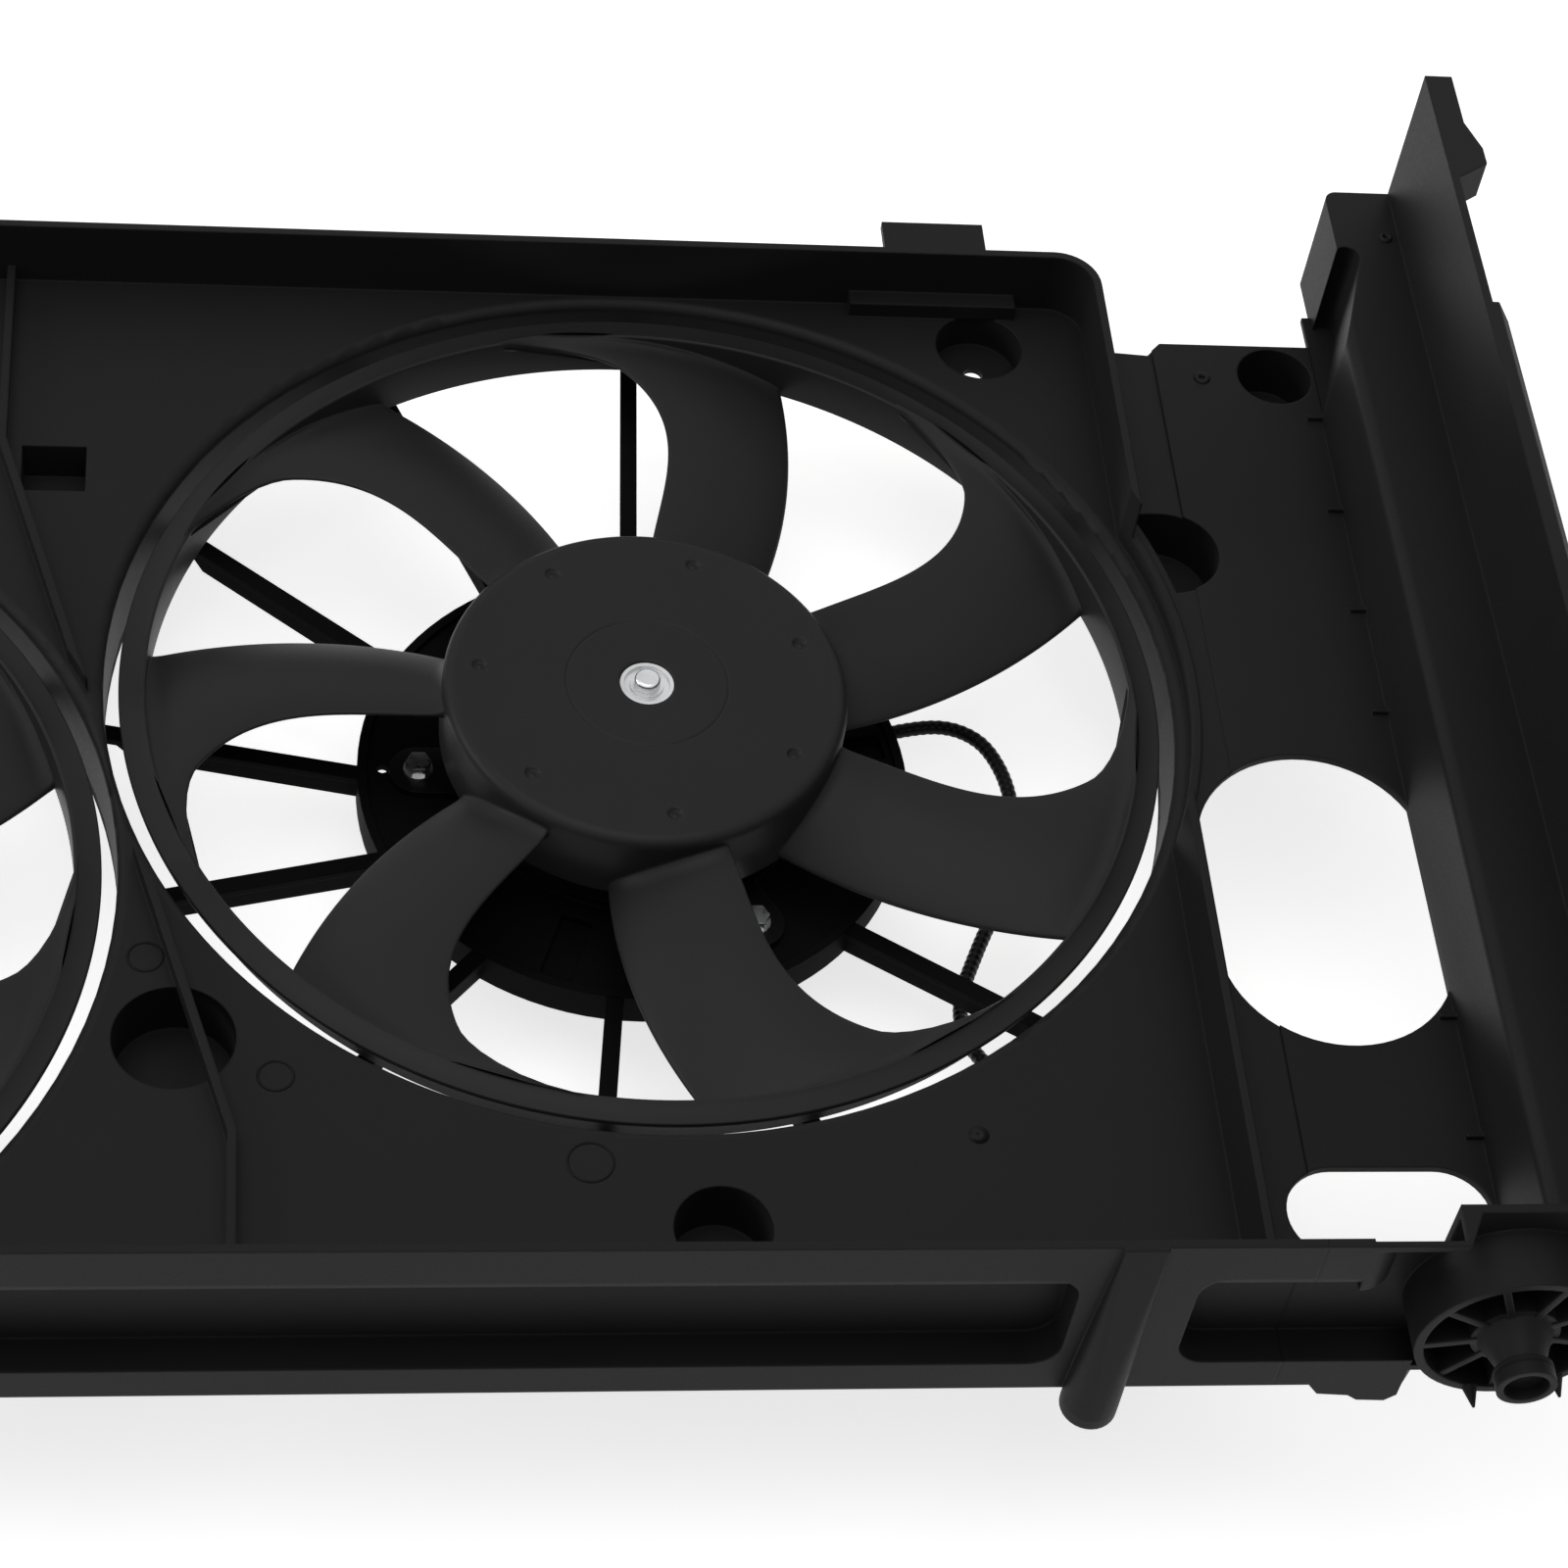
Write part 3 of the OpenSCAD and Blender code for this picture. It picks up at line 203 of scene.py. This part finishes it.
FINISH = {
    # the spiders' arms take the darker nylon that paints their shade
    "shroud_tray": shroud_nylon, "carrier": shroud_nylon, "spider": arm_nylon_painted_shade,
    # the motors' cans, end caps and mount flanges: black coat with painted shade
    "impeller": fan_nylon, "motor_can": coated_steel_and_shade, "end_cap": coated_steel_and_shade, "mount_flange": coated_steel_and_shade,
    "magnets": ferrite, "bearings": plated_steel, "brush_card": phenolic, "motor_screws": plated_steel,
    "connector": plug_polyester, "lead": sheath_polypropylene, "hub_insert": plated_steel,
    "shaft": plated_steel, "armature": laminated_steel, "windings": enamelled_copper,
    "commutator": enamelled_copper, "shaft_nut": plated_steel,
}


def dress(node_name):
    """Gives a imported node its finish, by the name it has without its side."""
    plain = node_name.removeprefix("right_").removeprefix("left_")
    mesh = nodes[node_name].data
    mesh.materials.clear()
    mesh.materials.append(FINISH[plain])


for node_name in nodes:
    dress(node_name)


# the fans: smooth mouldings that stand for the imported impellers, sizes in millimetres from a fan's axis
HUB_R, HUB_SKIRT, HUB_WALL, HUB_EDGE = 62.5, 22.0, 2.8, 4.0
INSERT_R, BOSS_R, BOSS_L = 8.5, 13.0, 8.0
HUB_RIB_T, HUB_RIB_DEPTH = 1.8, 6.0
RING_R, FLANGE_W, RING_T, BAND_DEPTH = 160.0, 8.0, 2.2, 15.0
BAND_IN = RING_R - FLANGE_W
BLADES, BLADE_START, BLADE_WRAP, BLADE_CAMBER, BLADE_T = 7, 85.0, 33.0, 3.2, 2.6
DIMPLE_R, DIMPLE_ANGLE, DIMPLE_SIZE, DIMPLE_DEPTH = 51.5, 19.0, 2.5, 1.1
GROOVE_R, GROOVE_DEPTH, GROOVE_HALF = 25.0, 0.35, 0.4
# the blade's two long edges from hub to tip: turns in degrees, heights in millimetres
LOW_EDGE_Z, LOW_EDGE_TURN, LOW_EDGE_RISE = -(HUB_SKIRT - 2.5), 17.0, 6.0
HIGH_EDGE_Z, HIGH_EDGE_BACK, HIGH_EDGE_ON, HIGH_EDGE_RISE = -3.4, 9.6, 20.6, 1.2
# the upper edge's added sweep near the tip: the share of the span where it starts, its turn and its rise
SWEEP_START, SWEEP_TURN, SWEEP_RISE = 0.86, 8.0, 1.2
# a blade's fillets at the hub and at the ring: how far they reach, and how much thicker each makes it
FILLET_REACH, ROOT_FILLET, TIP_FILLET = 4.0, 1.4, 1.2


def arc(centre, radius, start, end, steps):
    """Points along an arc, with its angles in degrees."""
    turns = [math.radians(start + (end - start) * i / steps) for i in range(steps + 1)]
    return [(centre[0] + radius * math.cos(t), centre[1] + radius * math.sin(t)) for t in turns]


def turned(profile, segments):
    """Points and faces of a closed profile, given as radius and height, turned about the axis."""
    count = len(profile)
    points = [(r * math.cos(t), r * math.sin(t), z)
              for t in (2 * math.pi * i / segments for i in range(segments)) for r, z in profile]
    faces = [(i * count + k, (i + 1) % segments * count + k, (i + 1) % segments * count + (k + 1) % count,
              i * count + (k + 1) % count) for i in range(segments) for k in range(count)]
    return points, faces


def joined(parts):
    """One list of points and one of faces from several such pairs."""
    points, faces = [], []
    for more_points, more_faces in parts:
        start = len(points)
        points += more_points
        faces += [tuple(start + i for i in face) for face in more_faces]
    return points, faces


def about_axis(part, degrees):
    """The same points and faces, turned about the axis."""
    points, faces = part
    c, s = math.cos(math.radians(degrees)), math.sin(math.radians(degrees))
    return [(x * c - y * s, x * s + y * c, z) for x, y, z in points], faces


def slab(low, high):
    """A plain rectangular block between two opposite corners."""
    points = [(x, y, z) for x in (low[0], high[0]) for y in (low[1], high[1]) for z in (low[2], high[2])]
    return points, [(0, 1, 3, 2), (4, 6, 7, 5), (0, 4, 5, 1), (2, 3, 7, 6), (0, 2, 6, 4), (1, 5, 7, 3)]


def closed_mesh(name, points, faces, side="right"):
    """A mesh with its normals outwards, from points in millimetres about a fan's axis."""
    mesh = bpy.data.meshes.new(name)
    mesh.from_pydata([at_fan(*p, side) for p in points], [], faces)
    shape = bmesh.new()
    shape.from_mesh(mesh)
    bmesh.ops.recalc_face_normals(shape, faces=shape.faces)
    shape.to_mesh(mesh)
    shape.free()
    return mesh


def piece(name, part, side, finish, body, flat_above=None):
    """A new piece from points in millimetres about a fan's axis, riding on a body."""
    mesh = closed_mesh(name, *part, side)
    mesh.materials.append(finish)
    mesh.shade_smooth()
    if flat_above is not None:
        mesh.set_sharp_from_angle(angle=math.radians(flat_above))
    made = bpy.data.objects.new(name, mesh)
    bpy.context.scene.collection.objects.link(made)
    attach(made, body)
    return made


def dimple_drop(x, y):
    """How far the hub's face is pressed in at a place: seven cups with a small pip in each."""
    drop = 0.0
    for i in range(BLADES):
        turn = math.radians(DIMPLE_ANGLE + i * 360 / BLADES)
        away = math.hypot(x - DIMPLE_R * math.cos(turn), y - DIMPLE_R * math.sin(turn))
        if away < DIMPLE_SIZE:
            side_wall = min(1.0, (DIMPLE_SIZE - away) / 0.8)
            pip = max(0.0, 1 - (away / 1.0) ** 2) * 0.5
            drop = DIMPLE_DEPTH * side_wall * side_wall * (3 - 2 * side_wall) - pip
    return drop


def hub():
    """The hub cup: face with groove and dimples, rounded rim, skirt, boss and stiffening ribs."""
    inner_r, plate_low = HUB_R - HUB_WALL, HUB_TOP - HUB_WALL
    # rings of the face stand close together at the groove and at the dimples, so that both keep crisp
    steps = [GROOVE_HALF * share for share in (-4, -2, -1, 0, 1, 2, 4)]
    near_groove = [(GROOVE_R + step, HUB_TOP - GROOVE_DEPTH * (step == 0)) for step in steps]
    reach = DIMPLE_SIZE + 0.3
    near_dimples = [DIMPLE_R - reach + 2 * reach * i / 16 for i in range(17)]
    face = ([(INSERT_R + 0.4, HUB_TOP), (INSERT_R + 1.2, HUB_TOP), (16, HUB_TOP)] + near_groove
            + [(34, HUB_TOP), (42, HUB_TOP), (46, HUB_TOP)] + [(r, HUB_TOP) for r in near_dimples])
    rim = [(HUB_R - HUB_EDGE - 1, HUB_TOP)] + arc((HUB_R - HUB_EDGE, HUB_TOP - HUB_EDGE), HUB_EDGE, 90, 0, 12)
    skirt = [(HUB_R, -8), (HUB_R, -HUB_SKIRT + 0.4), (HUB_R - 0.4, -HUB_SKIRT), (inner_r + 0.4, -HUB_SKIRT),
             (inner_r, -HUB_SKIRT + 0.4), (inner_r, plate_low - 2)]
    inside = [(inner_r - 2, plate_low), (BOSS_R + 2, plate_low), (BOSS_R, plate_low - 1.5),
              (BOSS_R, plate_low - BOSS_L), (INSERT_R, plate_low - BOSS_L), (INSERT_R, HUB_TOP - 0.4)]
    points, faces = turned(face + rim + skirt + inside, 720)
    points = [(x, y, z - (dimple_drop(x, y) if z > HUB_TOP - 0.01 else 0)) for x, y, z in points]
    rib = slab((BOSS_R - 1, -HUB_RIB_T / 2, plate_low - HUB_RIB_DEPTH),
               (inner_r + 0.5, HUB_RIB_T / 2, plate_low + 0.5))
    ribs = [about_axis(rib, i * 180 / BLADES) for i in range(2 * BLADES)]
    return joined([(points, faces)] + ribs)


def fan_ring():
    """The ring round the blade tips: a band with a rounded lip and a flange with eased edges."""
    ease = 0.5
    profile = (arc((BAND_IN + 0.8, 0.1), 0.8, 180, 60, 6) + [(BAND_IN + 2.2, 0.0)]
               + arc((RING_R - ease, -ease), ease, 90, 0, 4)
               + arc((RING_R - ease, -RING_T + ease), ease, 0, -90, 4)
               + [(BAND_IN + RING_T + 1.2, -RING_T), (BAND_IN + RING_T, -RING_T - 1.2)]
               + arc((BAND_IN + RING_T - ease, -BAND_DEPTH + ease), ease, 0, -90, 4)
               + arc((BAND_IN + ease, -BAND_DEPTH + ease), ease, -90, -180, 4))
    return turned(profile[::-1], 360)


def blade_point(radius, chord, rise):
    """A point on the blade at a radius and a share of its chord, raised from the middle surface."""
    out = (radius - HUB_R) / (BAND_IN - HUB_R)
    sweep = max(0.0, (out - SWEEP_START) / (1 - SWEEP_START)) ** 2
    low_angle = -BLADE_WRAP + LOW_EDGE_TURN * out
    high_angle = -HIGH_EDGE_BACK * out + HIGH_EDGE_ON * out ** 3 + SWEEP_TURN * sweep
    low_z = LOW_EDGE_Z + LOW_EDGE_RISE * out
    high_z = HIGH_EDGE_Z + HIGH_EDGE_RISE * out + SWEEP_RISE * sweep
    angle = math.radians(low_angle + (high_angle - low_angle) * chord)
    z = low_z + (high_z - low_z) * chord + 4 * BLADE_CAMBER * chord * (1 - chord) + rise
    return radius * math.cos(angle), radius * math.sin(angle), z


def blade_half(radius, chord):
    """Half the blade's thickness: full in the middle, rounded at both edges, thicker at both ends."""
    half = BLADE_T / 2 * (0.45 + 0.55 * math.sqrt(4 * chord * (1 - chord)))
    edge = min(1.0, min(chord, 1 - chord) / 0.018)
    root_fillet = max(0.0, 1 - (radius - HUB_R) / FILLET_REACH) ** 2 * ROOT_FILLET
    tip_fillet = max(0.0, 1 - (BAND_IN - radius) / FILLET_REACH) ** 2 * TIP_FILLET
    return half * math.sqrt(1 - (1 - edge) ** 2) * (1 + root_fillet + tip_fillet)


def blade():
    """One lofted blade with fine sections from the hub's wall to the ring's band."""
    edge_shares = [0.0, 0.002, 0.006, 0.012, 0.02]
    middle = [0.02 + 0.96 * i / 26 for i in range(1, 26)]
    shares = edge_shares + middle + [1 - share for share in reversed(edge_shares)]
    start, end, steps = HUB_R - HUB_WALL / 2, BAND_IN + RING_T / 2, 44
    radii = [start + (end - start) * i / steps for i in range(steps + 1)]
    points = []
    for radius in radii:
        points += [blade_point(radius, share, blade_half(radius, share)) for share in shares]
        points += [blade_point(radius, share, -blade_half(radius, share)) for share in reversed(shares[1:-1])]
    loop = 2 * len(shares) - 2
    faces = [(i * loop + k, i * loop + (k + 1) % loop, (i + 1) * loop + (k + 1) % loop, (i + 1) * loop + k)
             for i in range(steps) for k in range(loop)]
    faces += [tuple(range(loop - 1, -1, -1)), tuple(range(steps * loop, (steps + 1) * loop))]
    return points, faces


def impeller(side):
    """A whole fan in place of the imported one."""
    blades = [about_axis(blade(), BLADE_START - i * 360 / BLADES) for i in range(BLADES)]
    made = piece(side + "_fan_moulding", joined([hub(), fan_ring()] + blades), side, fan_nylon,
                 side + "_fan", 50)
    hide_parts(side + "_impeller")


for side in FANS:
    impeller(side)


# the leads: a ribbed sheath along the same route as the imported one, from the can to the plug
LEAD_ROUTE = [(50.01, 23.96, -66), (60, 28, -66), (72, 31, -64), (88, 34, -60), (104, 34, -57),
              (115, 27, -55), (121, 14, -54), (123, -2, -54), (121, -20, -54), (114, -40, -54),
              (105, -60, -53), (98, -78, -51), (96, -94, -47), (99, -108, -42), (105, -120, -36),
              (113, -131, -31), (121, -140, -29), (128, -146, -28)]
SHEATH_R, SHEATH_RIB, RIB_PITCH = 2.4, 0.18, 2.6
RIB_STEPS, SHEATH_SIDES = 6, 20


def smooth_path(route, step):
    """Evenly spaced points on a smooth curve through the route's points."""
    dense = []
    padded = [route[0]] + route + [route[-1]]
    for a, b, c, d in zip(padded, padded[1:], padded[2:], padded[3:]):
        a, b, c, d = (Vector(p) for p in (a, b, c, d))
        for i in range(16):
            t = i / 16
            dense.append(0.5 * (2 * b + (c - a) * t + (2 * a - 5 * b + 4 * c - d) * t * t
                                + (3 * b - a - 3 * c + d) * t * t * t))
    dense.append(Vector(route[-1]))
    even, left = [dense[0]], step
    for start, end in zip(dense, dense[1:]):
        length = (end - start).length
        while left <= length:
            even.append(start + (end - start) * (left / length))
            left += step
        left -= length
    return even + [dense[-1]]


def sheath(side):
    """The ribbed sheath of a motor's lead."""
    sides = SHEATH_SIDES
    path = smooth_path(LEAD_ROUTE, RIB_PITCH / RIB_STEPS)
    turn = 1 if side == "right" else -1
    points = []
    for i, place in enumerate(path):
        ahead = (path[min(i + 1, len(path) - 1)] - path[max(i - 1, 0)]).normalized()
        across = ahead.cross(Vector((0, 0, 1))).normalized()
        above = across.cross(ahead)
        radius = SHEATH_R - SHEATH_RIB * (0.5 + 0.5 * math.cos(2 * math.pi * i / RIB_STEPS))
        for k in range(sides):
            t = 2 * math.pi * k / sides
            spot = place + (across * math.cos(t) + above * math.sin(t)) * radius
            points.append((spot.x * turn, spot.y * turn, spot.z))
    faces = [(i * sides + k, i * sides + (k + 1) % sides, (i + 1) * sides + (k + 1) % sides,
              (i + 1) * sides + k) for i in range(len(path) - 1) for k in range(sides)]
    faces += [tuple(range(sides - 1, -1, -1)), tuple(range(len(points) - sides, len(points)))]
    made = piece(side + "_lead_sheath", (points, faces), side, sheath_polypropylene, "root")
    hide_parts(side + "_lead")


for side in FANS:
    sheath(side)


# the carriers' near shoulders: cut back so that only a thin rim runs on over the small slot
SHOULDER_X, SHOULDER_END = 171.3, 196.5
SHOULDER_CUT = [(-244.9, 74.0), (-244.9, 71.4), (-232.0, 49.3), (-232.0, 74.0)]


def cut_back_shoulder(side):
    """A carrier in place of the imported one, with the wedge behind its near rim taken out."""
    ends = sorted((mirrored(SHOULDER_X, side), mirrored(SHOULDER_END, side)))
    count = len(SHOULDER_CUT)
    points = [(x, y, z) for x in ends for y, z in SHOULDER_CUT]
    faces = [tuple(range(count)), tuple(range(2 * count - 1, count - 1, -1))]
    faces += [(k, k + count, (k + 1) % count + count, (k + 1) % count) for k in range(count)]
    cutter = bpy.data.objects.new("shoulder_cutter", closed_mesh("shoulder_cutter", points, faces))
    bpy.context.scene.collection.objects.link(cutter)
    made = bpy.data.objects.new(side + "_carrier_moulding", nodes[side + "_carrier"].data.copy())
    bpy.context.scene.collection.objects.link(made)
    cut = made.modifiers.new("cut", "BOOLEAN")
    cut.operation = "DIFFERENCE"
    cut.solver = "EXACT"
    cut.object = cutter
    bpy.context.view_layer.update()
    result = bpy.data.meshes.new_from_object(made.evaluated_get(bpy.context.evaluated_depsgraph_get()))
    made.modifiers.clear()
    bpy.data.objects.remove(cutter)
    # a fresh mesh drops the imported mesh's stored normals, which no longer fit the cut faces
    finished = bpy.data.meshes.new(side + "_carrier_moulding")
    finished.from_pydata([v.co for v in result.vertices], [], [tuple(p.vertices) for p in result.polygons])
    finished.materials.append(shroud_nylon)
    made.data = finished
    finished.shade_smooth()
    finished.set_sharp_from_angle(angle=math.radians(30))
    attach(made, "root")
    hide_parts(side + "_carrier")


for side in FANS:
    cut_back_shoulder(side)


# plates that close the columns' slanted slots and the motor seats' windows from below
COLUMN_FLOOR = (231.0, 90, 8.6), (255.4, 160, 10.6)
SEAT_FLOOR = (57.5, -6.5, -47.0), (83.5, 6.5, -45.8)
SEAT_WINDOW_ANGLES = (10, 130, 250)


def closing_plates(side):
    """The floor under a column's slot and the three thin floors of a motor seat's pockets."""
    plate = slab(*((mirrored(x, side), y, z) for x, y, z in COLUMN_FLOOR))
    piece(side + "_column_floor", plate, "right", shroud_nylon, "root", 30)
    floors = [about_axis(slab(*SEAT_FLOOR), angle) for angle in SEAT_WINDOW_ANGLES]
    # the pockets' floors take the arms' darker nylon, which paints shade
    piece(side + "_seat_floors", joined(floors), side, arm_nylon_painted_shade, "root", 30)


for side in FANS:
    closing_plates(side)


# moulding marks: ejector rings, a gate scar and small pips on the faces that carry them
def top_of(node_name, place):
    """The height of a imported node's upper surface under a place."""
    mesh = nodes[node_name].data
    tree = BVHTree.FromPolygons([v.co for v in mesh.vertices], [p.vertices for p in mesh.polygons])
    return tree.ray_cast(Vector((place.x, place.y, 1)), Vector((0, 0, -1)))[0].z


def mark(name, node_name, x, y, profile, segments=48):
    """A small turned mark that stands on a node's upper surface, a hair sunk into it."""
    rise = (top_of(node_name, at_fan(x, y, 0)) - FANS["right"].z) / MM
    points, faces = turned(profile, segments)
    moved = [(x + px, y + py, rise + pz) for px, py, pz in points]
    return piece(name, (moved, faces), "right", shroud_nylon, "root")


def ejector_ring(radius):
    """Section of the low ridge that an ejector pin leaves."""
    return [(radius - 0.55, -0.05), (radius - 0.25, 0.16), (radius + 0.25, 0.16), (radius + 0.55, -0.05)]


CRATER = [(0.01, 0.1), (1.0, 0.12), (1.5, 0.5), (2.3, 0.5), (2.8, 0.1), (3.0, -0.05), (0.01, -0.05)]
PEG = [(0.01, 0.3), (1.0, 0.35), (1.3, 0.9), (1.8, 0.9), (2.2, 0.2), (2.4, -0.05), (0.01, -0.05)]
SCAR = [(0.01, 0.35), (1.2, 0.3), (2.2, 0.12), (3.0, 0.05), (3.2, -0.05), (0.01, -0.05)]
# X, Y and radius of each ejector ring, and the places of the other marks
EJECTOR_PLACES = [(-150, -105, 5.0), (-113, -146, 5.0), (-26, -175, 6.5), (-450, -215, 5.0), (-290, 125, 5.0),
                  (-400, 120, 5.0)]
GATE_SCAR_X, GATE_SCAR_Y = 85, -166
PIP_X, PIP_Y = 192, 130
PEG_X, PEG_Y = 251.5, 160.5
for number, (x, y, radius) in enumerate(EJECTOR_PLACES):
    mark(f"tray_ejector_ring_{number}", "shroud_tray", x, y, ejector_ring(radius))
mark("tray_gate_scar", "shroud_tray", GATE_SCAR_X, GATE_SCAR_Y, SCAR)
for side in FANS:
    mark(side + "_panel_pip", side + "_carrier", mirrored(PIP_X, side), PIP_Y, CRATER)
    mark(side + "_column_peg", side + "_carrier", mirrored(PEG_X, side), PEG_Y, PEG)

# two short spikes on each foot's rim, at these angles about the foot's middle
SPIKE = [(0.01, 6.0), (0.4, 6.0), (2.2, -0.5), (0.01, -0.5)]
FOOT_X, FOOT_Z, FOOT_RIM_R, FOOT_END_Y = 217.0, 36.0, 26.3, -253.6
SPIKE_ANGLES = (-104, -51)
for side in FANS:
    spike_points, spike_faces = turned(SPIKE, 24)
    spikes = []
    for angle in SPIKE_ANGLES:
        spike_x = mirrored(FOOT_X + FOOT_RIM_R * math.cos(math.radians(angle)), side)
        spike_z = FOOT_Z + FOOT_RIM_R * math.sin(math.radians(angle))
        spikes.append(([(spike_x + x, FOOT_END_Y - z, spike_z + y) for x, y, z in spike_points], spike_faces))
    piece(side + "_foot_spikes", joined(spikes), "right", shroud_nylon, "root", 40)


# camera: long lens from the near side, tilted as the photograph is
VIEW_ELEVATION = math.radians(50.50)
VIEW_TURN = math.radians(-12.77)
VIEW_ROLL = math.radians(10.59)
LENS_MM = 92.0
camera_place = at_fan(-130.8, -789.5, 937.0)
level = math.cos(VIEW_ELEVATION)
forward = Vector((-math.sin(VIEW_TURN) * level, math.cos(VIEW_TURN) * level, -math.sin(VIEW_ELEVATION)))
level_right = forward.cross(Vector((0, 0, 1))).normalized()
level_up = level_right.cross(forward)
right = level_right * math.cos(VIEW_ROLL) + level_up * math.sin(VIEW_ROLL)
up = level_up * math.cos(VIEW_ROLL) - level_right * math.sin(VIEW_ROLL)
camera_data = bpy.data.cameras.new("camera")
camera_data.lens = LENS_MM
camera_data.sensor_width = 36
camera_data.clip_end = 50
camera = bpy.data.objects.new("camera", camera_data)
bpy.context.scene.collection.objects.link(camera)
camera.matrix_world = Matrix.Translation(camera_place) @ Matrix((right, up, -forward)).transposed().to_4x4()
bpy.context.scene.camera = camera


# floor and world: the share of full white that the floor adds for background rays, and the light of the room
FLOOR_GLOW = 0.75
ROOM_LIGHT = 0.12


def background_rays(tree):
    """A value of 1 for the rays that show the background: camera, glossy and transmission rays."""
    path = add(tree, "ShaderNodeLightPath").outputs
    bounced = add(tree, "ShaderNodeMath", {0: path["Is Glossy Ray"], 1: path["Is Transmission Ray"]},
                  operation="MAXIMUM").outputs[0]
    return add(tree, "ShaderNodeMath", {0: path["Is Camera Ray"], 1: bounced}, operation="MAXIMUM").outputs[0]


def pale_floor():
    """Material of the floor: painted white, a little shaded where the object keeps the light off."""
    material, tree, place = blank("white paint, rolled")
    grain = add(tree, "ShaderNodeTexNoise", {"Vector": place, "Scale": lumps(6), "Detail": 3.0,
                                             "Roughness": 0.55}).outputs["Fac"]
    colour = add(tree, "ShaderNodeMix", {"Factor": grain, "A": linear("#F4F4F3"), "B": linear("#FBFBFA")},
                 data_type="RGBA").outputs[2]
    paint = add(tree, "ShaderNodeBsdfDiffuse", {"Color": colour}).outputs[0]
    share = add(tree, "ShaderNodeMath", {0: background_rays(tree), 1: FLOOR_GLOW},
                operation="MULTIPLY").outputs[0]
    glow = add(tree, "ShaderNodeEmission", {"Color": (1, 1, 1, 1), "Strength": share}).outputs[0]
    shown = add(tree, "ShaderNodeAddShader", {0: paint, 1: glow}).outputs[0]
    add(tree, "ShaderNodeOutputMaterial", {"Surface": shown})
    return material


FLOOR_HALF = 12.0
floor_mesh = bpy.data.meshes.new("floor")
floor_corners = [(x * FLOOR_HALF, y * FLOOR_HALF, 0) for x, y in ((-1, -1), (1, -1), (1, 1), (-1, 1))]
floor_mesh.from_pydata(floor_corners, [], [(0, 1, 2, 3)])
floor = bpy.data.objects.new("floor", floor_mesh)
bpy.context.scene.collection.objects.link(floor)
floor_mesh.materials.append(pale_floor())

world = bpy.data.worlds.new("studio")
bpy.context.scene.world = world
world.use_nodes = True
world.node_tree.nodes.clear()
dim = add(world.node_tree, "ShaderNodeBackground", {"Color": (1, 1, 1, 1), "Strength": ROOM_LIGHT})
bright = add(world.node_tree, "ShaderNodeBackground", {"Color": (1, 1, 1, 1), "Strength": 1.0})
mixed = add(world.node_tree, "ShaderNodeMixShader", {0: background_rays(world.node_tree), 1: dim.outputs[0],
                                                     2: bright.outputs[0]})
add(world.node_tree, "ShaderNodeOutputWorld", {"Surface": mixed.outputs[0]})


# lamps: each one's place and size in metres, and its power in watts
OBJECT_MIDDLE = Vector((0, 0, 0.09))


def softbox(name, place, size, watts):
    """A square studio lamp that faces the object."""
    lamp = bpy.data.lights.new(name, "AREA")
    lamp.energy = watts
    lamp.shape = "RECTANGLE"
    lamp.size, lamp.size_y = size
    lamp_object = bpy.data.objects.new(name, lamp)
    bpy.context.scene.collection.objects.link(lamp_object)
    lamp_object.location = place
    lamp_object.rotation_mode = "QUATERNION"
    lamp_object.rotation_quaternion = (Vector(place) - OBJECT_MIDDLE).to_track_quat("Z", "Y")


softbox("overhead_softbox", (-0.2, -0.3, 2.6), (2.4, 2.0), 27)
softbox("left_softbox", (-2.2, 0.2, 0.7), (1.4, 1.2), 26)

bpy.context.scene.view_settings.view_transform = "Standard"
